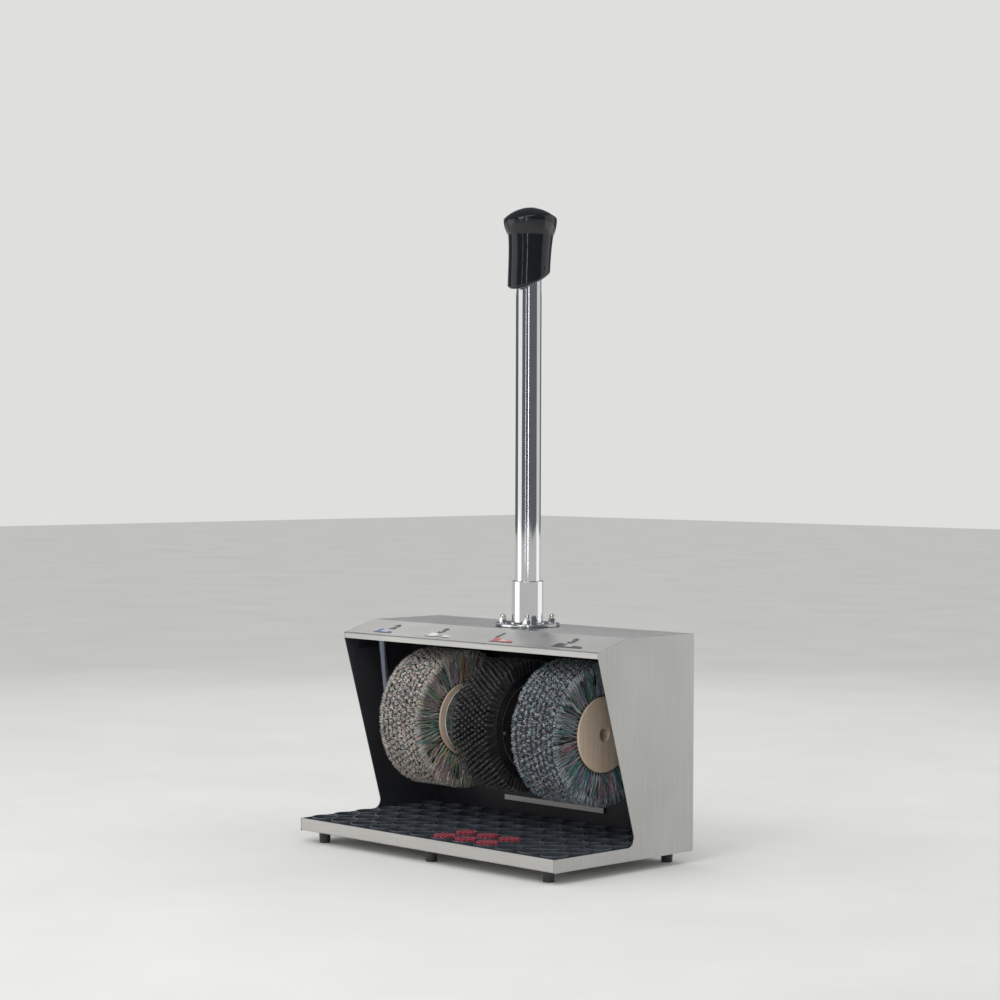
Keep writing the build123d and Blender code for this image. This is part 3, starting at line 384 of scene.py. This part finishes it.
def bristle_bed(name, palette, radius):
    """The packed bristles under the loose ones: a colour per bristle, streaked from the hub to the rim, each
    at a fifth of its brightness as painted shade deep in the brush and darkened at its edge as painted shadow
    between bristles.
    """
    finish = Finish(name, palette[0][0], 0.55)
    x, y, z = finish.split(finish.place())[:3]
    up, back, reach = from_axis(finish, y, z)
    angle = finish.math("ARCTAN2", back, up)
    polar = finish.node("CombineXYZ")
    finish.link(finish.math("MULTIPLY", x, BED_CELLS), polar.inputs[0])
    finish.link(finish.math("MULTIPLY", angle, BED_CELLS * radius), polar.inputs[1])
    finish.link(finish.math("MULTIPLY", reach, BED_STREAKS), polar.inputs[2])
    bristles = finish.cells(polar.outputs[0])
    total = sum(weight for _, weight in palette)
    stops, place = [], 0.0
    for color, weight in palette:
        # each bristle's colour at a fifth of its brightness: painted shade deep in the packed brush
        stops.append((place, shade(color, 0.20)))
        place += weight / total
    pick = finish.split(bristles["Color"])[0]
    color = finish.ramp(pick, stops, "CONSTANT")
    # darker towards each bristle's edge: painted shadow in the gaps between packed bristles
    gap_shadow = finish.span(bristles["Distance"], 0.0, 1.0, 0.22, 0.55)
    finish.put(finish.mix(gap_shadow, color, (0.012, 0.012, 0.014)), "Base Color")
    finish.bump(finish.math("SUBTRACT", 1.0, bristles["Distance"]), 0.6, 0.0012)
    return finish.material


def strand_finish(name, color):
    """One bristle's own colour, with the soft sheen of a fibre."""
    finish = Finish(name, color, 0.42, Sheen_Weight=0.25, Sheen_Roughness=0.4, Specular_IOR_Level=0.35)
    return finish.material


def spread_mesh(name, verts, faces, materials, material_of, smooth=True):
    """A mesh piece from arrays. faces is an (n, 4) array, in which a triangle's last corner is -1."""
    mesh = bpy.data.meshes.new(name)
    sizes = np.where(faces[:, 3] < 0, 3, 4)
    loops = faces.reshape(-1)
    loops = loops[loops >= 0]
    mesh.vertices.add(len(verts))
    mesh.vertices.foreach_set("co", verts.astype(np.float32).ravel())
    mesh.loops.add(len(loops))
    mesh.loops.foreach_set("vertex_index", loops.astype(np.int32))
    mesh.polygons.add(len(faces))
    starts = np.concatenate(([0], np.cumsum(sizes)[:-1]))
    mesh.polygons.foreach_set("loop_start", starts.astype(np.int32))
    mesh.polygons.foreach_set("loop_total", sizes.astype(np.int32))
    mesh.polygons.foreach_set("material_index", material_of.astype(np.int32))
    mesh.polygons.foreach_set("use_smooth", np.full(len(faces), smooth))
    for material in materials:
        mesh.materials.append(material)
    mesh.update(calc_edges=True)
    mesh.validate()
    return placed(name, mesh)


STRAND_TAPER = 0.25


def strands(name, roots, tips, width, wave, stops, materials, picks, tip_picks, draw):
    """Thin three-sided bristles, each from its root to its tip with a wavy run between. stops are the
    rings' places along a bristle, and the last stretch and the cut end take the tip's colour."""
    count, rings = len(roots), len(stops)
    along = tips - roots
    along /= np.linalg.norm(along, axis=1)[:, None]
    side = np.cross(along, draw.normal(size=(count, 3)))
    side /= np.linalg.norm(side, axis=1)[:, None]
    other = np.cross(along, side)
    verts = np.zeros((count, rings, 3, 3))
    for ring, t in enumerate(stops):
        middle = roots + (tips - roots) * t
        if 0 < ring < rings - 1:
            sway = draw.normal(size=(2, count, 1)) * wave
            middle = middle + side * sway[0] + other * sway[1]
        thick = width * (1.0 - STRAND_TAPER * t)
        for corner in range(3):
            turn = 2 * math.pi * corner / 3
            outward = side * math.cos(turn) + other * math.sin(turn)
            verts[:, ring, corner] = middle + outward * thick[:, None] / 2
    base = (np.arange(count) * rings * 3)[:, None]
    pattern = []
    for low in range(0, (rings - 1) * 3, 3):
        for corner in range(3):
            after = (corner + 1) % 3
            pattern.append((low + corner, low + after, low + 3 + after, low + 3 + corner))
    top = (rings - 1) * 3
    faces = (base[:, :, None] + np.array(pattern)[None]).reshape(-1, 4)
    caps = np.concatenate((base + np.array([[top, top + 1, top + 2]]), np.full((count, 1), -1)), axis=1)
    tint = np.repeat(picks[:, None], len(pattern), axis=1)
    tint[:, -3:] = tip_picks[:, None]
    tint = np.concatenate((tint.reshape(-1), tip_picks))
    return spread_mesh(name, verts.reshape(-1, 3), np.concatenate((faces, caps)), materials, tint)


def around(x, angle, radius):
    """Points of the brush rotor, by place along the shaft, angle from the top to the back, and radius."""
    return np.stack((x, axis_y + radius * np.sin(angle), axis_z + radius * np.cos(angle)), axis=1)


def lathe(name, profile, material, steps=180):
    """A ring of the brush rotor turned from (x, radius, unevenness) points, closed on itself."""
    draw = np.random.default_rng(len(name))
    angles = np.arange(steps) * 2 * math.pi / steps
    rows = []
    for x, radius, uneven in profile:
        rows.append(around(np.full(steps, x), angles, radius + draw.uniform(-uneven, 0, steps)))
    verts = np.stack(rows, axis=1).reshape(-1, 3)
    length = len(profile)
    faces = []
    for i in range(steps):
        j = (i + 1) % steps
        for k in range(length):
            m = (k + 1) % length
            faces.append((i * length + k, i * length + m, j * length + m, j * length + k))
    faces = np.array(faces)
    return spread_mesh(name, verts, faces, [material], np.zeros(len(faces)), smooth=False)


def palette_picks(palette, count, draw):
    weights = np.array([weight for _, weight in palette], float)
    return draw.choice(len(palette), size=count, p=weights / weights.sum())


TUFTS_ROUND = 60
TUFT_ROWS = 9
RIM_PER_TUFT = 40
SIDE_ROWS = 2
SIDE_PER_TUFT = 12
SKIN = 0.0006
BED_INSET = 0.0035
BED_BULGE = 0.0060
BED_DEPTH = 0.0032
BED_UNEVEN = 0.0035
SIDE_UNEVEN = 0.001
SHOULDER = 0.006
TUFT_EDGE = 0.0045
TUFT_TURN = 0.004
TUFT_ROUND = 0.0025
TUFT_ALONG = 0.0023
TUFT_DOME = 0.5
TIP_UNEVEN = 0.0012
TIP_LEAN = 0.0016
TIP_GAP = 0.0008
ROOT_GAP = 0.003
RIM_LENGTH = 0.009


def bed_profile(low, high, root, rim):
    """The packed bristles' outline: a hollowed side, the rough rim and the other side."""
    x0, x1 = low.x + BED_INSET, high.x - BED_INSET
    rise = rim - SHOULDER - root
    profile = []
    for t in np.linspace(0, 1, 9):
        hollow = BED_BULGE * math.sin(math.pi * t) + SIDE_UNEVEN
        profile.append((x0 + hollow, root + rise * t, SIDE_UNEVEN))
    for t in np.linspace(0.02, 0.98, 28):
        profile.append((x0 + (x1 - x0) * t, rim - BED_DEPTH, BED_UNEVEN))
    for t in np.linspace(1, 0, 9):
        hollow = BED_BULGE * math.sin(math.pi * t) + SIDE_UNEVEN
        profile.append((x1 - hollow, root + rise * t, SIDE_UNEVEN))
    return profile


def rim_strands(label, palette, materials, low, high, rim, draw):
    """Loose bristle ends all over the rim, in domed tufts."""
    rows = np.linspace(low.x + TUFT_EDGE, high.x - TUFT_EDGE, TUFT_ROWS)
    shape = (np.arange(TUFT_ROWS), np.arange(TUFTS_ROUND), np.arange(RIM_PER_TUFT))
    row, turn, _ = np.meshgrid(*shape, indexing="ij")
    row, turn = row.ravel(), turn.ravel()
    count = len(row)
    centre = 2 * math.pi * (turn + 0.5 * (row % 2)) / TUFTS_ROUND + draw.normal(size=count) * TUFT_TURN
    swing = draw.normal(size=count) * TUFT_ROUND / rim
    shift = draw.normal(size=count) * TUFT_ALONG
    dome = np.hypot(swing * rim, shift) * TUFT_DOME
    x_tip = np.clip(rows[row] + shift, low.x + TIP_GAP, high.x - TIP_GAP)
    top = rim - SKIN
    reach = np.clip(top - dome - np.abs(draw.normal(size=count)) * TIP_UNEVEN, rim - SHOULDER, top)
    lean = draw.normal(size=(2, count)) * TIP_LEAN
    tips = around(x_tip, centre + swing + lean[0] / rim, reach)
    x_root = np.clip(x_tip + lean[1], low.x + ROOT_GAP, high.x - ROOT_GAP)
    roots = around(x_root, centre + swing, reach - RIM_LENGTH)
    width = draw.uniform(0.0010, 0.0016, count)
    picks = palette_picks(palette, count, draw)
    return strands(f"brush_{label}_rim", roots, tips, width, 0.0, (0, 1), materials, picks, picks, draw)


SIDE_BEND = 0.035
SIDE_FAN = 0.032
SIDE_ROOT_TURN = 0.010
SIDE_ROOT_IN = 0.0030
SIDE_LAYER = 0.002
SIDE_EDGE = 0.0007
SIDE_TIP_IN = 0.0020
SIDE_REACH = 0.0030
SIDE_SHORTEST = 0.012
SIDE_WAVE = 0.0012
ONE_COLOUR_TUFTS = 0.35
ONE_COLOUR_TIPS = 0.5


def side_strands(label, palette, side_palette, materials, root, rim, draw):
    """Long wavy bristles that fan out from the wooden core over both sides."""
    low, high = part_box(f"brush_{label}_bristles")
    core_low, core_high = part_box(f"brush_{label}_core")
    shape = ((-1, 1), np.arange(SIDE_ROWS), np.arange(TUFTS_ROUND), np.arange(SIDE_PER_TUFT))
    sign, layer, turn, _ = np.meshgrid(*shape, indexing="ij")
    sign, layer, turn = sign.ravel(), layer.ravel(), turn.ravel()
    count = len(sign)
    tuft = turn + TUFTS_ROUND * (layer + SIDE_ROWS * (sign > 0))
    centre = 2 * math.pi * (turn + 0.5 * layer) / TUFTS_ROUND
    bend = draw.normal(size=tuft.max() + 1)[tuft] * SIDE_BEND
    fan = draw.normal(size=count) * SIDE_FAN
    edge = np.where(sign < 0, low.x + SIDE_EDGE, high.x - SIDE_EDGE)
    root_x = np.where(sign < 0, core_low.x + SIDE_ROOT_IN, core_high.x - SIDE_ROOT_IN)
    root_x = root_x - sign * (layer * SIDE_LAYER + draw.uniform(0, SIDE_LAYER, count))
    root_turn = centre + draw.normal(size=count) * SIDE_ROOT_TURN
    roots = around(root_x, root_turn, np.full(count, root - 0.001))
    reach = np.clip(rim - np.abs(draw.normal(size=count)) * SIDE_REACH, rim - SIDE_SHORTEST, rim - SKIN)
    x_tip = edge - sign * np.abs(draw.normal(size=count)) * SIDE_TIP_IN
    tips = around(x_tip, centre + fan + bend, reach)
    width = draw.uniform(0.0008, 0.0012, count)
    whole = palette_picks(side_palette, tuft.max() + 1, draw)[tuft]
    same, mixed = draw.uniform(size=count) < ONE_COLOUR_TUFTS, palette_picks(side_palette, count, draw)
    picks = np.where(same, whole, mixed)
    same, mixed = draw.uniform(size=count) < ONE_COLOUR_TIPS, palette_picks(palette, count, draw)
    tip_picks = np.where(same, picks, mixed)
    return strands(f"brush_{label}_sides", roots, tips, width, SIDE_WAVE, (0, 0.25, 0.5, 0.75, 1),
                   materials, picks, tip_picks, draw)


def long_brush(label, palette, side_weights, seed):
    """A wood-cored brush of long mixed bristles: packed bed, loose rim tips and both sides' strands."""
    low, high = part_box(f"brush_{label}_bristles")
    core_low, core_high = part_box(f"brush_{label}_core")
    rim = (high.z - low.z) / 2
    root = (core_high.z - core_low.z) / 2 + 0.0002
    draw = np.random.default_rng(seed)
    materials = [strand_finish(f"bristle_{label}_{i}", color) for i, (color, _) in enumerate(palette)]
    side_palette = [(color, weight) for (color, _), weight in zip(palette, side_weights)]
    packed = bristle_bed(f"bristle_bed_{label}", palette, rim)
    bed = lathe(f"brush_{label}_bed", bed_profile(low, high, root, rim), packed, steps=240)
    tips = rim_strands(label, palette, materials, low, high, rim, draw)
    sides = side_strands(label, palette, side_palette, materials, root, rim, draw)
    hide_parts(f"brush_{label}_bristles")
    for piece in (bed, tips, sides):
        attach(piece, "brush_rotor")


# each palette: a bristle colour and how common it is
LIGHT_MIX = [
    ((0.62, 0.585, 0.53), 36), ((0.86, 0.84, 0.79), 24), ((0.30, 0.28, 0.27), 14), ((0.06, 0.055, 0.06), 9),
    ((0.50, 0.30, 0.22), 5), ((0.66, 0.20, 0.34), 4), ((0.07, 0.40, 0.20), 3), ((0.32, 0.17, 0.42), 2),
    ((0.05, 0.36, 0.40), 2), ((0.70, 0.55, 0.16), 2),
]
LIGHT_SIDE = (26, 12, 16, 12, 8, 8, 7, 6, 5, 4)
BLUE_MIX = [
    ((0.28, 0.31, 0.35), 30), ((0.62, 0.65, 0.67), 20), ((0.10, 0.13, 0.165), 22), ((0.03, 0.034, 0.043), 16),
    ((0.05, 0.33, 0.36), 4), ((0.07, 0.32, 0.18), 3), ((0.55, 0.12, 0.14), 2), ((0.30, 0.20, 0.40), 2),
]
BLUE_SIDE = (26, 14, 20, 20, 7, 7, 4, 3)
long_brush("left", LIGHT_MIX, LIGHT_SIDE, 11)
long_brush("right", BLUE_MIX, BLUE_SIDE, 12)

BLACK_MIX = [
    ((0.010, 0.010, 0.013), 60), ((0.030, 0.031, 0.036), 30), ((0.075, 0.076, 0.083), 10),
    ((0.15, 0.15, 0.16), 0),
]
# the tuft ends take lighter greys than the rest of each bristle: painted highlight on the cut ends
TIP_HIGHLIGHT_MIX = [(color, weight) for (color, _), weight in zip(BLACK_MIX, (8, 26, 38, 28))]
MIDDLE_ROUND = 72
MIDDLE_ROWS = 11
MIDDLE_PER_TUFT = 16
MIDDLE_EDGE = 0.0048
MIDDLE_ROOT_R = 0.0013
MIDDLE_TIP_R = 0.0019
MIDDLE_UNEVEN = 0.0005
MIDDLE_BED_EDGE = 0.001
MIDDLE_BED_DEPTH = 0.0015


def tuft_brush(seed):
    """The middle brush: separate black tufts on a drum, staggered row by row."""
    low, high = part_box("brush_middle_bristles")
    drum_low, drum_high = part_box("brush_middle_drum")
    drum = (drum_high.z - drum_low.z) / 2 + 0.0002
    rim = (high.z - low.z) / 2
    draw = np.random.default_rng(seed)
    materials = [strand_finish(f"bristle_black_{i}", color) for i, (color, _) in enumerate(BLACK_MIX)]
    places = np.linspace(low.x + MIDDLE_EDGE, high.x - MIDDLE_EDGE, MIDDLE_ROWS)
    shape = (np.arange(MIDDLE_ROWS), np.arange(MIDDLE_ROUND), np.arange(MIDDLE_PER_TUFT))
    row, turn, _ = np.meshgrid(*shape, indexing="ij")
    row, turn = row.ravel(), turn.ravel()
    count = len(row)
    spin = draw.uniform(0, 2 * math.pi, count)
    out = np.sqrt(draw.uniform(0, 1, count))
    centre = 2 * math.pi * (turn + 0.5 * (row % 2)) / MIDDLE_ROUND
    x_root = places[row] + np.cos(spin) * out * MIDDLE_ROOT_R
    x_tip = np.clip(places[row] + np.cos(spin) * out * MIDDLE_TIP_R, low.x + SKIN, high.x - SKIN)
    roots = around(x_root, centre + np.sin(spin) * out * MIDDLE_ROOT_R / drum, np.full(count, drum))
    reach = rim - SKIN - np.abs(draw.normal(size=count)) * MIDDLE_UNEVEN
    tips = around(x_tip, centre + np.sin(spin) * out * MIDDLE_TIP_R / rim, reach)
    width = draw.uniform(0.0010, 0.0013, count)
    tufts = strands("brush_middle_tufts", roots, tips, width, 0.0003, (0, 0.9, 1), materials,
                    palette_picks(BLACK_MIX, count, draw), palette_picks(TIP_HIGHLIGHT_MIX, count, draw), draw)
    left, right = low.x + MIDDLE_BED_EDGE, high.x - MIDDLE_BED_EDGE
    skin = drum + MIDDLE_BED_DEPTH
    profile = [(left, drum, 0.0), (left, skin, 0.0003), (right, skin, 0.0003), (right, drum, 0.0)]
    bed = lathe("brush_middle_bed", profile, moulded("tuft_bed_black", (0.012, 0.012, 0.014), 0.6))
    for piece in (tufts, bed):
        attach(piece, "brush_rotor")
    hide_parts("brush_middle_bristles")


tuft_brush(13)


# ---- red bristle plugs in the mat ----
def plug_finish():
    """The dark felted core of each bristle stub."""
    finish = Finish("plug_bristle_red", (0.30, 0.01, 0.03), 0.5, Sheen_Weight=0.2)
    ends = finish.cells(finish.place(), 900.0)
    pick = finish.split(ends["Color"])[0]
    reds = ((0.0, (0.10, 0.004, 0.012)), (0.5, (0.24, 0.008, 0.028)), (1.0, (0.40, 0.02, 0.06)))
    finish.put(finish.ramp(pick, reds), "Base Color")
    finish.bump(finish.math("SUBTRACT", 1.0, ends["Distance"]), 0.5, 0.0008)
    return finish.material


dress(plug_finish(), "mat_bristle_plugs")
RED_MIX = [
    ((0.46, 0.012, 0.045), 40), ((0.66, 0.035, 0.085), 30), ((0.22, 0.006, 0.02), 20),
    ((0.80, 0.16, 0.22), 10),
]
PLUG_R = 0.0182
STUB_RINGS = ((0.0, 1), (0.0070, 6), (0.0136, 12))
PER_STUB = 16
TUFT_ROOT_R = 0.0020
TUFT_TIP_R = 0.0035
TUFT_DEPTH = 0.009
PLUG_COLUMNS = 3
PLUG_SKIN = 0.0004
PLUG_UNEVEN = 0.0025


def plug_tufts(seed):
    """The splayed bristle ends of the red plugs, a tuft on each stub."""
    low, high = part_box("mat_bristle_plugs")
    draw = np.random.default_rng(seed)
    centres = []
    for x in np.linspace(low.x + PLUG_R, high.x - PLUG_R, PLUG_COLUMNS):
        for y in (low.y + PLUG_R, high.y - PLUG_R):
            for reach, number in STUB_RINGS:
                for k in range(number):
                    turn = 2 * math.pi * k / number
                    centres.append((x + reach * math.cos(turn), y + reach * math.sin(turn)))
    centres = np.repeat(np.array(centres), PER_STUB, axis=0)
    count = len(centres)
    spin = draw.uniform(0, 2 * math.pi, count)
    facing = np.stack((np.cos(spin), np.sin(spin)), axis=1)
    out = np.sqrt(draw.uniform(0.2, 1, count))[:, None]
    foot = np.full((count, 1), high.z - TUFT_DEPTH)
    roots = np.concatenate((centres + facing * out * TUFT_ROOT_R, foot), axis=1)
    heights = high.z - PLUG_SKIN - draw.uniform(0, PLUG_UNEVEN, count)
    tips = np.concatenate((centres + facing * out * TUFT_TIP_R, heights[:, None]), axis=1)
    materials = [strand_finish(f"bristle_red_{i}", color) for i, (color, _) in enumerate(RED_MIX)]
    picks = palette_picks(RED_MIX, count, draw)
    width = draw.uniform(0.0008, 0.0012, count)
    tufts = strands("mat_plug_tufts", roots, tips, width, 0.0002, (0, 0.5, 1), materials, picks, picks, draw)
    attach(tufts, "mat")


plug_tufts(14)


# ---- printed step signs on the bevel ----
bevel_angle = math.atan2(hood_high.z - LIP_TOP_Z, ROOF_EDGE_Y - hood_low.y)
bevel_up = Vector((0, math.cos(bevel_angle), math.sin(bevel_angle)))
bevel_out = Vector((0, -math.sin(bevel_angle), math.cos(bevel_angle)))
bevel_origin = Vector((0, hood_low.y, LIP_TOP_Z))


def printed(name, color):
    """Screen-printed ink, slightly uneven."""
    finish = Finish(name, color, 0.35)
    film = finish.noise(finish.place(), 800.0, 3.0)
    finish.put(finish.ramp(film, ((0.3, shade(color, 0.8)), (0.7, shade(color, 1.1)))), "Base Color")
    return finish.material


MM = 0.001
INK_FILM = 0.00008
INK_OVER = 0.0002
ink_black = printed("ink_black", (0.012, 0.012, 0.014))
ink_white = printed("ink_white", (0.72, 0.72, 0.70))
ink_blue = printed("ink_blue", (0.05, 0.11, 0.30))
ink_red = printed("ink_red", (0.50, 0.03, 0.04))


def on_bevel(x, y, lift):
    """A point on the sloping front sheet: along it, up it and off it."""
    return bevel_origin + Vector((x, 0, 0)) + bevel_up * y + bevel_out * lift


def sign_piece(name, mesh):
    """A printed mesh that rides on the casing."""
    piece = placed(name, mesh)
    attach(piece, "casing")


def decal(name, outline, x, y, material, lift):
    """A flat printed shape on the bevel: outline points in millimetres round (x, y)."""
    count = len(outline)
    low = [on_bevel(x + px * MM, y + py * MM, lift) for px, py in outline]
    high = [on_bevel(x + px * MM, y + py * MM, lift + INK_FILM) for px, py in outline]
    mesh = bpy.data.meshes.new(name)
    faces = [tuple(range(count, 2 * count)), tuple(reversed(range(count)))]
    faces += [(i, (i + 1) % count, count + (i + 1) % count, count + i) for i in range(count)]
    mesh.from_pydata([tuple(v) for v in low + high], [], faces)
    mesh.materials.append(material)
    sign_piece(name, mesh)


NUMBER_RISE = 0.016
NUMBER_SIZE = 0.027
NUMBER_WEIGHT = 0.045
NUMBER_LIFT = 0.00025


def digit(name, text, x, y, size, material):
    """A step number in the plain built-in face, lying on the bevel."""
    curve = bpy.data.curves.new(name + "_line", "FONT")
    curve.body = text
    curve.size = size
    curve.offset = size * NUMBER_WEIGHT
    curve.extrude = INK_FILM / 2
    sign = placed(name + "_text", curve)
    bpy.context.view_layer.update()
    shaped = sign.evaluated_get(bpy.context.evaluated_depsgraph_get())
    mesh = bpy.data.meshes.new_from_object(shaped)
    bpy.data.objects.remove(sign)
    turn = Matrix((Vector((1, 0, 0)), bevel_up, bevel_out)).transposed().to_4x4()
    mesh.transform(Matrix.Translation(on_bevel(x, y, NUMBER_LIFT)) @ turn)
    mesh.materials.clear()
    mesh.materials.append(material)
    mesh.name = name
    sign_piece(name, mesh)


SHOE = [(-19, 0), (-19, 12), (-16, 14), (-10, 12), (-4, 9), (3, 6.5), (11, 6), (17, 4.5), (20, 2), (20, 0)]
SOLE = [(-20, -3.4), (-20, -0.8), (21, -0.8), (21, -3.4)]
STRIPE = [(-7.5, 1.6), (-5.0, 1.6), (-2.0, 8.0), (-4.5, 9.0)]
STRIPE_STEP = 5.0
STRIPE_TAPER = 0.16
SIGN_LOW_Y = 0.014
# each sign: its place, step number, shoe colour, the shoe's and the number's offsets, the shoe's stretch
SIGNS = (
    (-0.196, "2", ink_blue, -0.006, -0.008, 1.0),
    (-0.083, "3", ink_white, 0.008, -0.010, 1.35),
    (0.055, "1", ink_red, 0.010, -0.022, 1.2),
    (0.199, "3", ink_black, 0.004, -0.012, 1.5),
)
for number, (x, text, ink, shoe_shift, number_shift, stretch) in enumerate(SIGNS):
    tag = f"step_sign_{number}"
    trim = ink_black if ink is ink_white else ink_white
    shoe = [(px * stretch, py) for px, py in SHOE]
    decal(tag + "_shoe", shoe, x + shoe_shift, SIGN_LOW_Y, ink, INK_FILM)
    sole = [(px * stretch, py) for px, py in SOLE]
    decal(tag + "_sole", sole, x + shoe_shift, SIGN_LOW_Y, ink_black, INK_FILM)
    for stripe in range(3):
        moved = [(px + STRIPE_STEP * stripe, py * (1 - STRIPE_TAPER * stripe)) for px, py in STRIPE]
        decal(f"{tag}_stripe_{stripe}", moved, x + shoe_shift, SIGN_LOW_Y, trim, INK_OVER)
    digit(tag + "_number", text, x + number_shift, SIGN_LOW_Y + NUMBER_RISE, NUMBER_SIZE, ink_black)

# ---- floor, light and camera ----
floor_mesh = bpy.data.meshes.new("studio_floor")
FLOOR_HALF = 14.0
corners = [(FLOOR_HALF * x, FLOOR_HALF * y, 0) for x, y in ((-1, -1), (1, -1), (1, 1), (-1, 1))]
floor_mesh.from_pydata(corners, [], [(0, 1, 2, 3)])
floor = placed("studio_floor", floor_mesh)
ground = Finish("pale_floor", (0.71, 0.71, 0.70), 1.0, Specular_IOR_Level=0.0)
mottle = ground.noise(ground.place(), 3.0)
ground.put(ground.ramp(mottle, ((0.3, (0.69, 0.69, 0.68)), (0.7, (0.73, 0.73, 0.72)))), "Base Color")
floor_mesh.materials.append(ground.material)

world = bpy.data.worlds.new("studio")
bpy.context.scene.world = world
world.use_nodes = True
sky = world.node_tree
backdrop = sky.nodes["Background"]
backdrop.inputs["Color"].default_value = (0.74, 0.74, 0.73, 1)
backdrop.inputs["Strength"].default_value = 1.0
dark = sky.nodes.new("ShaderNodeBackground")
dark.inputs["Color"].default_value = (0.30, 0.31, 0.34, 1)
dark.inputs["Strength"].default_value = 0.40
path = sky.nodes.new("ShaderNodeLightPath")
both = sky.nodes.new("ShaderNodeMixShader")
sky.links.new(path.outputs["Is Glossy Ray"], both.inputs[0])
sky.links.new(backdrop.outputs[0], both.inputs[1])
sky.links.new(dark.outputs[0], both.inputs[2])
sky.links.new(both.outputs[0], sky.nodes["World Output"].inputs["Surface"])


def softbox(name, angle, distance, height, width, tall, power, aim=(0, 0, 0.4), color=(1, 1, 1)):
    """A soft rectangular light round the object, at an angle in the floor plane from +X."""
    lamp = bpy.data.lights.new(name, "AREA")
    lamp.shape = "RECTANGLE"
    lamp.size, lamp.size_y = width, tall
    lamp.energy = power
    lamp.color = color
    turn = math.radians(angle)
    holder = placed(name, lamp)
    holder.location = (distance * math.cos(turn), distance * math.sin(turn), height)
    holder.rotation_euler = (Vector(aim) - holder.location).to_track_quat("-Z", "Y").to_euler()
    holder.visible_camera = False


softbox("left_box", -128, 2.0, 1.08, 1.8, 2.15, 10)
softbox("right_box", 58, 2.0, 1.08, 1.9, 2.15, 7)
softbox("camera_strip", -43, 3.2, 1.4, 0.09, 2.4, 5, color=(0.93, 0.96, 1))
softbox("side_strip", -69, 2.6, 1.3, 0.06, 2.1, 1.6, color=(0.85, 0.92, 1))
softbox("back_box", 140, 2.6, 1.55, 2.6, 1.1, 8)
softbox("front_fill", -72, 2.0, 2.1, 0.9, 0.7, 12, aim=(0, 0, 0.12))
softbox("overhead", -60, 0.6, 2.6, 1.6, 1.2, 7)

lens = bpy.data.cameras.new("view")
lens.lens = 89.59
lens.sensor_width = 36
lens.clip_end = 60
camera = placed("view", lens)
CAMERA_AT = (2.7414, -2.6851, 0.6226)
azimuth, pitch, roll = math.radians(45.44), math.radians(1.17), math.radians(0.21)
level = math.cos(pitch)
toward = Vector((-math.sin(azimuth) * level, math.cos(azimuth) * level, -math.sin(pitch)))
flat_right = Vector((math.cos(azimuth), math.sin(azimuth), 0))
flat_up = flat_right.cross(toward)
right = flat_right * math.cos(roll) + flat_up * math.sin(roll)
up = flat_up * math.cos(roll) - flat_right * math.sin(roll)
turn = Matrix((right, up, -toward)).transposed().to_4x4()
camera.matrix_world = Matrix.Translation(CAMERA_AT) @ turn
bpy.context.scene.camera = camera
bpy.context.scene.view_settings.view_transform = "Standard"
